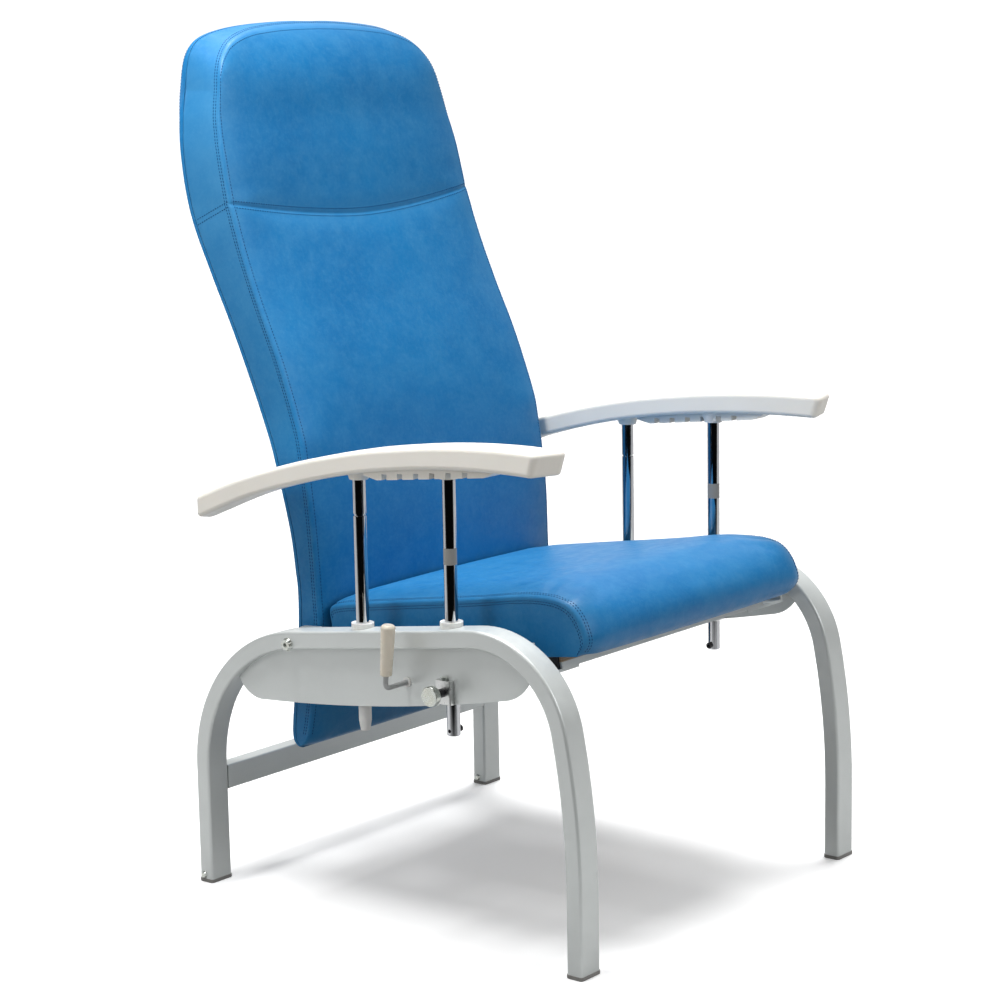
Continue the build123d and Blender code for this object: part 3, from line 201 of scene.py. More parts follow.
def plated(name, base, rough=(0.06, 0.14), tint=None, brush=(1, 1, 1), strength=0.03):
    """Chrome or zinc plate."""
    m = Shader(name)
    clouds = m.ramp(m.noise(120.0, 4.0), 0.35, 0.65, 0.0, 0.35)
    tone = m.mix(clouds, base, tint or scaled_colour(base, 0.85))
    m.color(tone)
    m.rough(m.ramp(m.noise(300.0, 4.0, 0.6, brush), 0.3, 0.7, *rough))
    m.set(Metallic=1.0)
    m.bump(m.noise(900.0, 2.0, 0.5, brush), strength, 0.0002)
    return m.material


def moulded(name, base, rough=(0.38, 0.5), grain=900.0, strength=0.08, subsurface=0.0, coat=0.0):
    """Moulded plastic or skinned foam, with painted shade in its corners and hollows."""
    m = Shader(name)
    tone = m.mix(m.ramp(m.noise(14.0, 4.0), 0.3, 0.7, 0.0, 0.5), base, scaled_colour(base, 0.93))
    # painted shade: corners and hollows darkened by ambient occlusion
    tone = m.mix(m.ramp(m.hollow_shade(0.02), 0.3, 1.0, 0.35, 0.0), tone, scaled_colour(base, 0.5))
    tone = m.mix(m.ramp(m.edges(0.53, 0.64), 0.0, 1.0, 0.0, 0.3), tone, scaled_colour(base, 1.08))
    m.color(tone)
    m.rough(m.ramp(m.noise(70.0, 3.0), 0.3, 0.7, *rough))
    m.set(Subsurface_Weight=subsurface, Subsurface_Radius=(0.004, 0.003, 0.002), Coat_Weight=coat)
    m.bump(m.noise(grain, 3.0), strength, 0.0003)
    return m.material


def plywood(name):
    """Raw ply edge: thin layers along Z and pores along the sheet."""
    m = Shader(name)
    layers = m.node("ShaderNodeTexWave", Scale=110.0, Distortion=1.2, Detail=2.0)
    layers.bands_direction = "Z"
    m.link(m.place, layers.inputs["Vector"])
    grain = m.noise(120.0, 5.0, 0.6, (0.15, 1.0, 1.0))
    tone = m.mix(layers.outputs["Fac"], (0.34, 0.22, 0.13), (0.52, 0.38, 0.25))
    tone = m.mix(m.ramp(grain, 0.4, 0.65, 0.0, 0.5), tone, (0.24, 0.15, 0.09))
    m.color(tone)
    m.set(Roughness=0.7)
    m.bump(grain, 0.2, 0.0004)
    return m.material


def thread(name, base):
    """Twisted sewing thread."""
    m = Shader(name)
    twist = m.ramp(m.noise(1500.0, 2.0), 0.35, 0.65, 0.0, 1.0)
    m.color(m.mix(twist, base, scaled_colour(base, 0.6)))
    m.set(Roughness=0.7, Specular_IOR_Level=0.15)
    m.bump(m.noise(2500.0, 2.0), 0.3, 0.0002)
    return m.material


BLUE = (0.004, 0.165, 0.405)
BLUE_DEEP = (0.002, 0.130, 0.345)
BLUE_LIGHT = (0.065, 0.265, 0.475)
GREY = (0.63, 0.66, 0.65)

MATERIALS = {
    "painted_frame": powder("powder_coat_grey", GREY),
    "light_metal": plated("cast_light_metal", (0.72, 0.73, 0.72), (0.25, 0.4), strength=0.1),
    "dark_plastic": moulded("black_plastic", (0.012, 0.012, 0.013), (0.4, 0.6), 1500.0, 0.2),
    "zinc": plated("zinc_plate", (0.62, 0.66, 0.63), (0.2, 0.36), (0.66, 0.62, 0.5)),
    "white_plastic": moulded("white_plastic", (0.78, 0.78, 0.76), (0.3, 0.42), 800.0, 0.05, 0.1),
    "dark_metal": powder("black_oxide", (0.035, 0.035, 0.038), 0.7, (0.35, 0.5)),
    "plywood": plywood("ply_edge"),
    "blue_vinyl": vinyl("blue_vinyl", BLUE, BLUE_DEEP, BLUE_LIGHT),
    "cream_foam": moulded("cream_skinned_foam", (0.86, 0.83, 0.765), (0.4, 0.52), 1300.0, 0.22, 0.08),
    "chrome_post": plated("chrome", (0.50, 0.51, 0.53), (0.04, 0.10), brush=(1, 1, 0.15)),
    "grey_plastic": moulded("grey_plastic", (0.27, 0.265, 0.25), (0.4, 0.5), 700.0, 0.15),
    "grey_rod": powder("grey_rod_paint", (0.38, 0.39, 0.39), 0.3),
    "ivory_plastic": moulded("ivory_plastic", (0.72, 0.66, 0.55), (0.24, 0.34), 500.0, 0.04, 0.15, 0.3),
}
THREAD = thread("blue_thread", (0.003, 0.05, 0.16))

slots = {part["node"]: part["material_slot"] for part in frame["record"]["subparts"]}
for node_name, node_object in frame["nodes"].items():
    node_object.data.materials.clear()
    node_object.data.materials.append(MATERIALS[slots[node_name]])


# ------------------------------------------------------------------ mesh tools
CURVE_STEPS = 24


def distance_along(line):
    """Distance from a line's first point to each of its points."""
    return np.concatenate([[0], np.cumsum(np.linalg.norm(np.diff(line, axis=0), axis=1))])


def curve_through(points, count):
    """Points evenly spaced along a smooth curve through the given points."""
    p = np.array(points, float)
    padded = np.vstack([2 * p[0] - p[1], p, 2 * p[-1] - p[-2]])
    dense = []
    for i in range(len(p) - 1):
        a, b, c, d = padded[i : i + 4]
        square = 2 * a - 5 * b + 4 * c - d
        cube = 3 * b - a - 3 * c + d
        for t in np.linspace(0, 1, CURVE_STEPS, endpoint=False):
            dense.append(0.5 * (2 * b + (c - a) * t + square * t**2 + cube * t**3))
    dense = np.array(dense + [p[-1]])
    run = distance_along(dense)
    want = np.linspace(0, run[-1], count)
    return np.column_stack([np.interp(want, run, dense[:, k]) for k in range(dense.shape[1])])


LOOKUP_POINTS = 400


def lookup(points):
    """A smooth function z -> y through (y, z) points that rise in z."""
    dense = curve_through(points, LOOKUP_POINTS)
    order = np.argsort(dense[:, 1])
    return lambda z: np.interp(z, dense[order, 1], dense[order, 0])


def spread(length, step, close):
    """Positions from 0 to length: tight near both ends, then one step apart."""
    count = max(2, int((length - 2 * close[-1]) / step) + 1)
    inner = np.linspace(close[-1], length - close[-1], count)
    return np.concatenate([close[:-1], inner, [length - c for c in close[:-1]][::-1]])


def box_shell(front, back, layers):
    """Vertices and faces of a closed form: two grids of the same shape joined round their borders."""
    n, k = front.shape[:2]
    verts = [front.reshape(-1, 3), back.reshape(-1, 3)]
    faces = []

    def at(i, j):
        return i * k + j

    for i in range(n - 1):
        for j in range(k - 1):
            quad = (at(i, j), at(i, j + 1), at(i + 1, j + 1), at(i + 1, j))
            faces.append(quad)
            faces.append(tuple(q + n * k for q in reversed(quad)))
    ring = [(0, j) for j in range(k - 1)] + [(i, k - 1) for i in range(n - 1)]
    ring += [(n - 1, j) for j in range(k - 1, 0, -1)] + [(i, 0) for i in range(n - 1, 0, -1)]
    first = [at(i, j) for i, j in ring]
    rows = [first]
    count = 2 * n * k
    for share in layers:
        rows.append(list(range(count, count + len(ring))))
        count += len(ring)
        verts.append(np.array([front[i, j] * (1 - share) + back[i, j] * share for i, j in ring]))
    rows.append([r + n * k for r in first])
    for a, b in zip(rows, rows[1:]):
        for m in range(len(ring)):
            nxt = (m + 1) % len(ring)
            faces.append((a[m], b[m], b[nxt], a[nxt]))
    return np.vstack(verts), faces


def make_object(name, verts, faces, material, smooth=True, merge=1e-6):
    mesh = bpy.data.meshes.new(name)
    mesh.from_pydata([tuple(v) for v in verts], [], faces)
    work = bmesh.new()
    work.from_mesh(mesh)
    if merge:
        bmesh.ops.remove_doubles(work, verts=work.verts, dist=merge)
    bmesh.ops.dissolve_degenerate(work, edges=work.edges, dist=1e-7)
    bmesh.ops.recalc_face_normals(work, faces=work.faces)
    for face in work.faces:
        face.smooth = smooth
    work.to_mesh(mesh)
    work.free()
    made = bpy.data.objects.new(name, mesh)
    scene.collection.objects.link(made)
    mesh.materials.append(material)
    return made


def coordinates(mesh):
    out = np.zeros(len(mesh.vertices) * 3)
    mesh.vertices.foreach_get("co", out)
    return out.reshape(-1, 3)


def put_coordinates(mesh, values):
    mesh.vertices.foreach_set("co", np.asarray(values, float).ravel())
    mesh.update()


CLOTH_FRAMES = 18
CLOTH_PRESSURE = 3.0
CLOTH_SETTINGS = {
    "quality": 6,
    "mass": 0.3,
    "tension_stiffness": 18,
    "compression_stiffness": 18,
    "shear_stiffness": 8,
    "bending_stiffness": 3,
    "use_pressure": True,
    "uniform_pressure_force": CLOTH_PRESSURE,
    "vertex_group_mass": "held",
}


def inflate(obj, pinned, cap):
    """Cloth with inner pressure, held at the seams; every point's move is capped smoothly."""
    mesh = obj.data
    rest = coordinates(mesh)
    group = obj.vertex_groups.new(name="held")
    for index, weight in enumerate(pinned(rest)):
        if weight > 0.01:
            group.add([index], float(weight), "REPLACE")
    cloth = obj.modifiers.new("swell", "CLOTH")
    for key, value in CLOTH_SETTINGS.items():
        setattr(cloth.settings, key, value)
    cloth.settings.effector_weights.gravity = 0
    cloth.point_cache.frame_start = 1
    cloth.point_cache.frame_end = CLOTH_FRAMES
    for f in range(1, CLOTH_FRAMES + 1):
        scene.frame_set(f)
    evaluated = obj.evaluated_get(bpy.context.evaluated_depsgraph_get())
    moved = coordinates(evaluated.data)
    obj.modifiers.remove(cloth)
    scene.frame_set(1)
    step = moved - rest
    size = np.linalg.norm(step, axis=1, keepdims=True)
    keep = cap * np.tanh(size / cap) / np.maximum(size, 1e-9)
    put_coordinates(mesh, rest + step * keep)


def mark_wear_and_sheen(obj, amount):
    """A per-point attribute the vinyl reads as lighter tone: rubbed bands beside the seams, and painted
    sheen where the caller adds it.
    """
    layer = obj.data.attributes.new("wear_and_sheen", "FLOAT", "POINT")
    layer.data.foreach_set("value", np.asarray(amount, np.float32))


def subdivide(obj):
    """One subdivision, applied, with smooth shading."""
    modifier = obj.modifiers.new("fine", "SUBSURF")
    modifier.levels = modifier.render_levels = 1
    evaluated = obj.evaluated_get(bpy.context.evaluated_depsgraph_get())
    fine = bpy.data.meshes.new_from_object(evaluated)
    obj.modifiers.clear()
    obj.data = fine
    for polygon in fine.polygons:
        polygon.use_smooth = True


def tree_of(obj):
    mesh = obj.data
    corners = [v.co.copy() for v in mesh.vertices]
    return BVHTree.FromPolygons(corners, [tuple(p.vertices) for p in mesh.polygons])


STITCH_PITCH = 0.0046
STITCH_LENGTH = 0.0031
STITCH_R = 0.00056
STITCH_START = 0.002
STITCH_SIDES = 5
STITCH_LIFT = (-0.3, 0.35, -0.3)
STITCH_WIDTH = (0.55, 1.0, 0.55)


def stitches(name, surface, lines, body):
    """Rows of short sewn stitches laid on a surface along the given lines.

    Each stitch has three rings: two sunk ends and a raised middle.
    """
    tree = tree_of(surface)
    verts, faces = [], []
    for line in lines:
        run = distance_along(line)
        for start in np.arange(STITCH_START, run[-1] - STITCH_LENGTH, STITCH_PITCH):
            spots, normals = [], []
            for s in (start, start + STITCH_LENGTH / 2, start + STITCH_LENGTH):
                p = Vector([np.interp(s, run, line[:, k]) for k in range(3)])
                spot, normal, _, _ = tree.find_nearest(p)
                spots.append(spot)
                normals.append(normal)
            direction = spots[2] - spots[0]
            if direction.length < 1e-5:
                continue
            direction.normalize()
            normal = normals[1].normalized()
            side = direction.cross(normal).normalized()
            base = len(verts)
            for spot, lift, width in zip(spots, STITCH_LIFT, STITCH_WIDTH):
                centre = spot + normal * STITCH_R * lift
                for q in range(STITCH_SIDES):
                    turn = 2 * math.pi * q / STITCH_SIDES
                    outward = side * math.cos(turn) + normal * math.sin(turn)
                    verts.append(centre + outward * STITCH_R * width)
            for ring in (base, base + STITCH_SIDES):
                for q in range(STITCH_SIDES):
                    a, b = ring + q, ring + (q + 1) % STITCH_SIDES
                    faces.append((a, b, b + STITCH_SIDES, a + STITCH_SIDES))
            faces.append(tuple(base + q for q in reversed(range(STITCH_SIDES))))
            faces.append(tuple(base + 2 * STITCH_SIDES + q for q in range(STITCH_SIDES)))
    made = make_object(name, verts, faces, THREAD, merge=None)
    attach(made, body)
    return made


def near(points, lines, full, fade):
    """1 within full of any of the lines, falling to 0 at fade."""
    dense = np.vstack([curve_through(line, max(60, 6 * len(line))) for line in lines])
    tree = KDTree(len(dense))
    for i, p in enumerate(dense):
        tree.insert(p, i)
    tree.balance()
    distance = np.array([tree.find(Vector(p))[2] for p in points])
    return np.clip((fade - distance) / max(fade - full, 1e-9), 0, 1)


# ------------------------------------------------------------------ seat cushion
SEAT_SLOPE = math.radians(7.8)
COS, SIN = math.cos(SEAT_SLOPE), math.sin(SEAT_SLOPE)
SEAT_ORIGIN_Y, SEAT_ORIGIN_Z = -250, 389
SEAT_HALF = 254
# the side profile, from the rear bottom corner over the top to the front bottom edge:
# rearwards along the board, up from the board
SEAT_PATH = [
    (396, 52), (396.5, 76), (390, 85), (370, 89), (325, 90.5), (247, 92), (170, 93), (96, 94.5), (59, 96),
    (23, 95.5), (-10, 91.5), (-35, 82.5), (-50, 68), (-58.5, 50), (-62, 31), (-57, 19), (-48, 11.5),
]
SEAT_PATH_POINTS = 118
SEAT_TOP_POINT = 60
SEAT_STEP = 9.0
SEAT_ROLL_DEPTH, SEAT_ROLL_REACH = 8.0, 34
SEAM_DEPTH, SEAT_SEAM_REACH = 1.6, 1.8
SEAT_CROWN_EDGE, SEAT_CROWN_MIDDLE = 2.5, 2.0
UNDER_REAR, UNDER_FRONT, UNDER_HEIGHT = 376, -38, 9.6
UNDER_SHARE = 0.995
SEAT_SIDE_LAYERS = [0.06, 0.14, 0.26, 0.42, 0.6, 0.78, 0.92]
SEAT_BASE_HELD = 12.5
SEAT_SWELL_CAP = 0.0045
SEAT_TOP_ROWS = (5.0, 8.6)
SEAT_SIDE_ROWS = (4.5, 8.0)
CLOSE = [0, 1.6, 3.4, 6, 9.5, 14, 20, 27]


def seat_point(x, v, w):
    """World point from the seat's own axes: across, rearwards, up from the board."""
    y = SEAT_ORIGIN_Y + v * COS + w * SIN
    z = SEAT_ORIGIN_Z - v * SIN + w * COS
    return np.stack([x, y, z], axis=-1) * MM


path = curve_through(SEAT_PATH, SEAT_PATH_POINTS)
across = spread(2 * SEAT_HALF, SEAT_STEP, CLOSE) - SEAT_HALF
edge = SEAT_HALF - np.abs(across)
tangent = np.gradient(path, axis=0)
outward = np.column_stack([-tangent[:, 1], tangent[:, 0]])
outward /= np.linalg.norm(outward, axis=1, keepdims=True)
outward *= np.sign(outward[SEAT_TOP_POINT, 1])
roll = SEAT_ROLL_DEPTH * np.clip(1 - edge / SEAT_ROLL_REACH, 0, 1) ** 2.0
roll += SEAM_DEPTH * np.exp(-((edge / SEAT_SEAM_REACH) ** 2))
crown = SEAT_CROWN_EDGE + SEAT_CROWN_MIDDLE * (1 - (across / SEAT_HALF) ** 2)
offset = crown - roll
top = np.zeros((len(path), len(across), 3))
bottom = np.zeros_like(top)
under = np.linspace(UNDER_REAR, UNDER_FRONT, len(path))
under_height = np.full(len(across), UNDER_HEIGHT)
for i, (v, w) in enumerate(path):
    top[i] = seat_point(across, v + outward[i, 0] * offset, w + outward[i, 1] * offset)
    bottom[i] = seat_point(across * UNDER_SHARE, np.full(len(across), under[i]), under_height)
verts, faces = box_shell(top, bottom, SEAT_SIDE_LAYERS)
cushion = make_object("seat_cushion_cover", verts, faces, MATERIALS["blue_vinyl"], merge=1e-5)
seat_seams = [top[:, 0], top[:, -1]]
seat_base = [bottom[:, 0], bottom[:, -1], bottom[0], bottom[-1], top[0], top[-1]]


def seat_held(points):
    back_run = points[:, 1] / MM - SEAT_ORIGIN_Y
    rise = points[:, 2] / MM - SEAT_ORIGIN_Z
    base = np.clip((SEAT_BASE_HELD - back_run * SIN - rise * COS) / 2, 0, 1)
    seams = near(points, seat_seams, 0.0035, 0.011)
    return np.maximum.reduce([seams, near(points, seat_base, 0.003, 0.008), base])


inflate(cushion, seat_held, SEAT_SWELL_CAP)
mark_wear_and_sheen(cushion, 0.4 * near(coordinates(cushion.data), seat_seams, 0.008, 0.03))
subdivide(cushion)
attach(cushion, "frame")
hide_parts("seat_cushion")
side_rows = []
for column, sign in ((0, -1), (-1, 1)):
    for inset in SEAT_TOP_ROWS:
        nearest = int(np.argmin(np.abs(edge - inset) + (np.sign(across) != sign) * 1000))
        side_rows.append(top[:, nearest])
    down = bottom[4:, column] - top[4:, column]
    down /= np.linalg.norm(down, axis=1, keepdims=True)
    for drop in SEAT_SIDE_ROWS:
        side_rows.append(top[4:, column] + down * drop * MM)
stitches("seat_cushion_stitching", cushion, side_rows, "frame")


# ------------------------------------------------------------------ backrest
FRONT_Y = lookup(
    [
        (203, 207), (194, 211), (187, 221), (180, 246), (169, 310), (157, 388), (158, 428), (163, 530),
        (176, 627), (185, 666), (217, 752), (254, 832), (286, 909), (309, 981), (322, 1036), (336, 1090),
        (343, 1130), (350, 1165), (359, 1192), (371, 1212), (386, 1226),
    ]
)
REAR_Y = lookup(
    [
        (212, 207), (220, 212), (224, 226), (220, 269), (209, 340), (205, 425), (208, 465), (215, 521),
        (238, 608), (256, 661), (309, 783), (356, 878), (391, 956), (410, 1042), (418, 1114), (421, 1181),
        (416, 1206), (404, 1230),
    ]
)
HALF_X = lookup(
    [(262, 207), (262, 420), (264, 530), (262.5, 700), (257, 1000), (249, 1078), (243, 1105), (236, 1130)]
)
FRONT_CROWN = [
    (236, 1130), (230, 1153), (218, 1175), (194, 1196), (150, 1211), (97, 1218), (48, 1221), (0, 1222),
]
REAR_CROWN = [
    (241, 1130), (237, 1158), (229, 1184), (212, 1203), (173, 1215), (120, 1222), (50, 1226), (0, 1226),
]
CROWN_POINTS = 200
BACK_LOW = 207
BACK_SIDE_TOP = 1130
BACK_HALF = 250.0
WIDEN_FROM, WIDEN_OVER = 700, 300
SEAM_MIDDLE_Z, SEAM_RISE = 947, 26
LOWER_STEP, UPPER_STEP, ACROSS_STEP = 10.0, 9.0, 9.5
LOWER_CLOSE = [0, 3, 7, 12, 18]
UPPER_CLOSE = [0, 1.8, 4, 7, 11, 16]
SEAM_CLOSE = (11, 7, 4, 1.8)
SHELL_T = 12.0
FRONT_ROUND, FRONT_ROUND_REACH = 5.5, 34
FRONT_SEAM_REACH = 1.9
CHANNEL_NARROW, CHANNEL_NARROW_REACH = 1.5, 2.2
CHANNEL_WIDE, CHANNEL_WIDE_REACH = 0.9, 12.0
FRONT_SWELL, FRONT_LIFT = 3.0, 2.5
REAR_ROUND, REAR_ROUND_REACH = 5.0, 18
REAR_SEAM_DEPTH, REAR_SEAM_REACH = 1.0, 1.7
REAR_SWELL = 1.5
SWELL_HALF = 257
BACK_SIDE_LAYERS = [0.05, 0.11, 0.2, 0.33, 0.5, 0.67, 0.82, 0.93]
PANEL_SIDE_LAYERS = [0.12, 0.3, 0.55, 0.8]
PANEL_GAP = 0.0006
SIDE_SEAM_DROP = 0.024
BACK_SWELL_CAP = 0.006
EDGE_ROW = 6.0
GUSSET_ROWS = (4.0, 8.0)
SEAM_ROW_LIFT = 0.004


def seam_z(x):
    """Height of the headrest seam, lowest in the middle."""
    return SEAM_MIDDLE_Z + SEAM_RISE * (np.abs(x) / BACK_HALF) ** 1.7


seam_top = seam_z(BACK_HALF)
lower = spread(seam_top - BACK_LOW, LOWER_STEP, LOWER_CLOSE)
lower = lower / lower[-1]
upper = spread(BACK_SIDE_TOP - seam_top, UPPER_STEP, UPPER_CLOSE)
upper = upper / upper[-1]
tail = np.array([1 - d / (seam_top - BACK_LOW) for d in SEAM_CLOSE])
lower = np.concatenate([lower[lower < tail[0] - 0.004], tail, [1.0]])
units = (spread(2 * BACK_HALF, ACROSS_STEP, CLOSE) - BACK_HALF) / BACK_HALF


def back_grid(surface, edge_drop, crown):
    """One face of the backrest on the seam-following grid, with rounded and crowned edges."""
    curve = curve_through(crown, CROWN_POINTS)
    side_x = crown[0][0]
    widen = side_x - FRONT_CROWN[0][0]

    def top_z(x):
        return np.interp(-np.abs(x), -curve[:, 0], curve[:, 1])

    rows = []
    x_top = units * side_x
    seam = seam_z(units * BACK_HALF)
    side_gap = (1 - np.abs(units)) * BACK_HALF
    for t in lower:
        z = BACK_LOW + t * (seam - BACK_LOW)
        z_side = BACK_LOW + t * (seam_top - BACK_LOW)
        rows.append((z, z_side, side_gap, (1 - t) * (seam - BACK_LOW)))
    for t in upper[1:]:
        z = seam + t * (top_z(x_top) - seam)
        z_side = seam_top + t * (BACK_SIDE_TOP - seam_top)
        rows.append((z, z_side, np.minimum(side_gap, top_z(x_top) - z), t * (top_z(x_top) - seam)))
    grid = []
    for z, z_side, gap, seam_gap in rows:
        x = units * (HALF_X(z_side) + widen * np.clip((z_side - WIDEN_FROM) / WIDEN_OVER, 0, 1))
        grid.append(np.stack([x, surface(z) + edge_drop(x, gap, seam_gap), z], axis=-1))
    return np.array(grid) * MM


def front_drop(x, gap, seam_gap):
    """Rearward shift of the front face: rounded edges, seam channel, and a crown forwards."""
    edge_round = FRONT_ROUND * np.clip(1 - gap / FRONT_ROUND_REACH, 0, 1) ** 1.7
    edge_round = edge_round + SEAM_DEPTH * np.exp(-((gap / FRONT_SEAM_REACH) ** 2))
    channel = CHANNEL_NARROW * np.exp(-((seam_gap / CHANNEL_NARROW_REACH) ** 2))
    channel = channel + CHANNEL_WIDE * np.exp(-((seam_gap / CHANNEL_WIDE_REACH) ** 2))
    return edge_round + channel - FRONT_SWELL * (1 - (x / SWELL_HALF) ** 2) - FRONT_LIFT


def mid_drop(x, gap, seam_gap):
    """The plane where the front cushion meets the rear panel."""
    return -SHELL_T + 0 * x


def rear_drop(x, gap, seam_gap):
    """Shift of the rear face: rounded edges, seam, and a slight crown rearwards."""
    edge_round = REAR_ROUND * np.clip(1 - gap / REAR_ROUND_REACH, 0, 1) ** 2.2
    edge_round = edge_round + REAR_SEAM_DEPTH * np.exp(-((gap / REAR_SEAM_REACH) ** 2))
    return REAR_SWELL * (1 - (x / SWELL_HALF) ** 2) - edge_round


front = back_grid(FRONT_Y, front_drop, FRONT_CROWN)
middle = back_grid(REAR_Y, mid_drop, REAR_CROWN)
rear = back_grid(REAR_Y, rear_drop, REAR_CROWN)
verts, faces = box_shell(front, middle, BACK_SIDE_LAYERS)
back = make_object("back_cushion_cover", verts, faces, MATERIALS["blue_vinyl"], merge=1e-5)
seam_row = len(lower) - 1
border = [front[:, 0], front[:, -1], front[-1], front[0]]
middle_border = [middle[:, 0], middle[:, -1], middle[-1], middle[0]]


def side_seam(column):
    """The headrest seam carried on across the side gusset, falling towards the rear."""
    start = front[seam_row, column]
    end_z = start[2] - SIDE_SEAM_DROP
    end = middle[int(np.argmin(np.abs(middle[:, column, 2] - end_z))), column]
    return np.array([start * (1 - s) + end * s for s in np.linspace(0, 1, 12)])


cross_seams = [front[seam_row], side_seam(0), side_seam(-1)]


def back_held(points):
    rear_y = (REAR_Y(points[:, 2] / MM) - SHELL_T) * MM
    flat = np.clip((points[:, 1] - rear_y + 0.003) / 0.002, 0, 1)
    seams = near(points, border + cross_seams, 0.004, 0.012)
    return np.maximum.reduce([seams, near(points, middle_border, 0.003, 0.008), flat])


inflate(back, back_held, BACK_SWELL_CAP)
spots = coordinates(back.data)
# Lighter vinyl tone on the backrest, growing with height as painted light from above: bands beside the
# seams (rubbed wear plus painted light) and a painted sheen on the upper side gusset.
banding = near(spots, border + cross_seams, 0.008, 0.035)
outer = np.clip((np.abs(spots[:, 0]) - 0.22) / 0.02, 0, 1)
gusset = outer * np.clip((spots[:, 1] / MM - FRONT_Y(spots[:, 2] / MM)) / 12, 0, 1)
height = np.clip((spots[:, 2] - 0.6) / 0.4, 0, 1)
mark_wear_and_sheen(back, np.clip(0.4 * banding * height + 0.8 * gusset * height, 0, 1))
subdivide(back)
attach(back, "backrest")
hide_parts("back_cushion")

verts, faces = box_shell(rear, middle + np.array([0, PANEL_GAP, 0]), PANEL_SIDE_LAYERS)
panel = make_object("back_panel_cover", verts, faces, MATERIALS["blue_vinyl"], merge=1e-5)
subdivide(panel)
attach(panel, "backrest")
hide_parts("back_panel")


def inset_border(grid, distance):
    """Three sides of a grid's border, moved in from the edge by about the given distance."""
    side = BACK_HALF * (1 - np.abs(units))
    left = int(np.argmin(np.abs(side - distance) + (units > 0) * 1000))
    right = int(np.argmin(np.abs(side - distance) + (units < 0) * 1000))
    gaps = (grid[-1, len(units) // 2, 2] - grid[:, len(units) // 2, 2]) / MM
    head = int(np.argmin(np.abs(gaps - distance)))
    return [grid[4 : head + 1, left], grid[head, left : right + 1], grid[4 : head + 1, right]]


def gusset_row(distance):
    """A line on the side and top gusset, the given distance behind the front edge."""
    ring = np.vstack([front[4:, 0], front[-1, 1:-1], front[4:, -1][::-1]])
    ring_mid = np.vstack([middle[4:, 0], middle[-1, 1:-1], middle[4:, -1][::-1]])
    step = ring_mid - ring
    return ring + step / np.linalg.norm(step, axis=1, keepdims=True) * distance * MM


back_lines = inset_border(front, EDGE_ROW) + [gusset_row(distance) for distance in GUSSET_ROWS]
for offset in (-2, 2):
    back_lines.append(front[seam_row + offset, 3:-3])
for seam in cross_seams[1:]:
    for lift in (-SEAM_ROW_LIFT, SEAM_ROW_LIFT):
        back_lines.append(seam + np.array([0, 0, lift]))
stitches("back_cushion_stitching", back, back_lines, "backrest")
stitches("back_panel_stitching", panel, inset_border(rear, EDGE_ROW), "backrest")


# ------------------------------------------------------------------ stage, lights, camera
AZIMUTH, ELEVATION = math.radians(-50.74), math.radians(9.91)
AWAY = (-math.sin(AZIMUTH), math.cos(AZIMUTH), 0.0)
BLACK = (0.0, 0.0, 0.0)
FLOOR_SEEN = (0.97, 0.97, 0.97)
FLOOR_GLOW = (0.10, 0.10, 0.10)
FLOOR_BOUNCE = (0.26, 0.26, 0.26)
WORLD_SEEN = (1.1, 1.1, 1.1)


def ray_choice(m, camera_value, glossy_value, other_value):
    """A value that depends on whether the camera, a reflection or other light looks at it."""
    path = m.tree.nodes.new("ShaderNodeLightPath")
    glossy = m.mix(path.outputs["Is Glossy Ray"], other_value, glossy_value)
    return m.mix(path.outputs["Is Camera Ray"], glossy, camera_value)


def beyond(m, vector):
    """0 towards the camera's side of the studio, 1 on the far side."""
    dot = m.tree.nodes.new("ShaderNodeVectorMath")
    dot.operation = "DOT_PRODUCT"
    m.link(vector, dot.inputs[0])
    dot.inputs[1].default_value = AWAY
    return dot.outputs["Value"]


FLOOR_HALF = 40.0
corners = [(-FLOOR_HALF, -FLOOR_HALF, 0), (FLOOR_HALF, -FLOOR_HALF, 0)]
corners += [(FLOOR_HALF, FLOOR_HALF, 0), (-FLOOR_HALF, FLOOR_HALF, 0)]
floor_mesh = bpy.data.meshes.new("floor")
floor_mesh.from_pydata(corners, [], [(0, 1, 2, 3)])
floor = bpy.data.objects.new("floor", floor_mesh)
scene.collection.objects.link(floor)
pale = Shader("pale_floor")
pale.set(Roughness=0.8, Specular_IOR_Level=0.05)
lit = pale.ramp(beyond(pale, pale.place), -1.5, -0.5, 0.0, 0.6)
pale.color(ray_choice(pale, FLOOR_SEEN, lit, FLOOR_BOUNCE))
pale.link(ray_choice(pale, FLOOR_GLOW, BLACK, BLACK), pale.surface.inputs["Emission Color"])
pale.set(Emission_Strength=1.0)
floor_mesh.materials.append(pale.material)

world = bpy.data.worlds.new("studio")
scene.world = world
world.use_nodes = True
sky = Shader.__new__(Shader)
sky.tree = world.node_tree
background = world.node_tree.nodes["Background"]
direction = sky.tree.nodes.new("ShaderNodeTexCoord").outputs["Generated"]
split = sky.tree.nodes.new("ShaderNodeSeparateXYZ")
sky.link(direction, split.inputs["Vector"])
mirror_level = sky.ramp(beyond(sky, direction), 0.35, 0.95, 0.03, 0.8)
soft_level = sky.ramp(split.outputs["Z"], 0.0, 0.9, 0.10, 0.62)
sky.link(ray_choice(sky, WORLD_SEEN, mirror_level, soft_level), background.inputs["Color"])
background.inputs["Strength"].default_value = 1.0


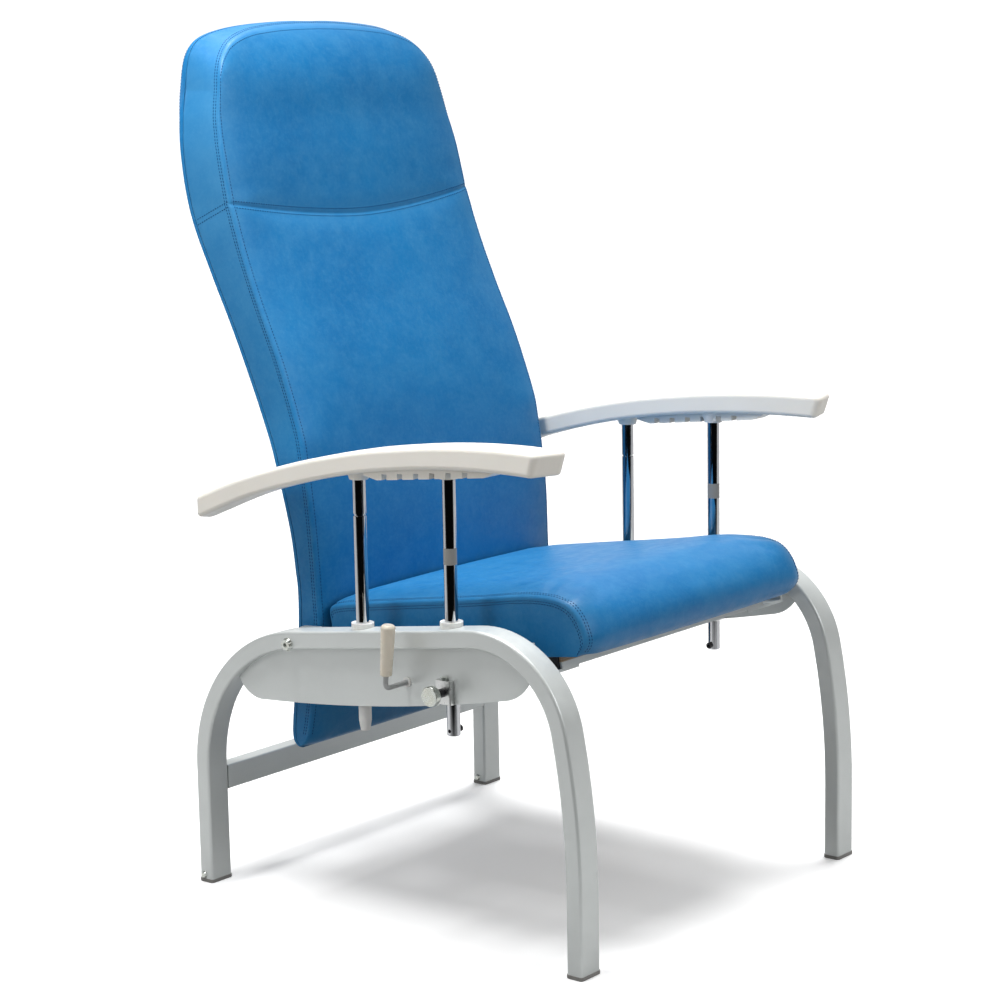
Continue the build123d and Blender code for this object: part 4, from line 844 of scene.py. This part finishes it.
SUN_PLACE = (0.36, 0.10, 1.2)
SUN_POWER, SUN_SPREAD = 2.5, math.radians(22)
# name, place, aimed at, size, power
AREA_LIGHTS = [
    ("left_box", (-0.76, 0.22, 2.15), (-0.2, 0.25, 0.9), (0.3, 0.7), 26),
    ("front_box", (0.3, -3.2, 2.2), (0, 0.1, 0.8), (1.8, 1.2), 32),
    ("side_fill", (-2.2, 0.7, 1.3), (0, 0.1, 0.6), (1.0, 1.0), 7),
]


def aimed(name, kind, place, aim):
    """A light at one place pointing at another, hidden from the camera."""
    data = bpy.data.lights.new(name, kind)
    light = bpy.data.objects.new(name, data)
    light.location = place
    light.rotation_euler = (Vector(aim) - Vector(place)).to_track_quat("-Z", "Y").to_euler()
    light.visible_camera = False
    scene.collection.objects.link(light)
    return data


overhead = aimed("overhead", "SUN", SUN_PLACE, (0, 0, 0))
overhead.energy = SUN_POWER
overhead.angle = SUN_SPREAD
for name, place, aim, size, power in AREA_LIGHTS:
    box = aimed(name, "AREA", place, aim)
    box.shape = "RECTANGLE"
    box.size, box.size_y = size
    box.energy = power

ROLL = math.radians(-1.01)
TARGET = Vector((0.00004, 0.0415, 0.54124))
DISTANCE = 3.67624
SENSOR_WIDTH, FOCAL_LENGTH = 36, 92.02
SHIFT_X = -0.0012
level = math.cos(ELEVATION)
forward = Vector((AWAY[0] * level, AWAY[1] * level, -math.sin(ELEVATION)))
right = forward.cross(Vector((0, 0, 1))).normalized()
up = right.cross(forward)
rolled_right = right * math.cos(ROLL) + up * math.sin(ROLL)
rolled_up = up * math.cos(ROLL) - right * math.sin(ROLL)
camera_data = bpy.data.cameras.new("photo_view")
camera_data.sensor_width = SENSOR_WIDTH
camera_data.lens = FOCAL_LENGTH
camera_data.shift_x = SHIFT_X
camera = bpy.data.objects.new("photo_view", camera_data)
turn = Matrix((rolled_right, rolled_up, -forward)).transposed().to_4x4()
camera.matrix_world = Matrix.Translation(TARGET - forward * DISTANCE) @ turn
camera_data.clip_end = 100
scene.collection.objects.link(camera)
scene.camera = camera
scene.view_settings.view_transform = "Standard"
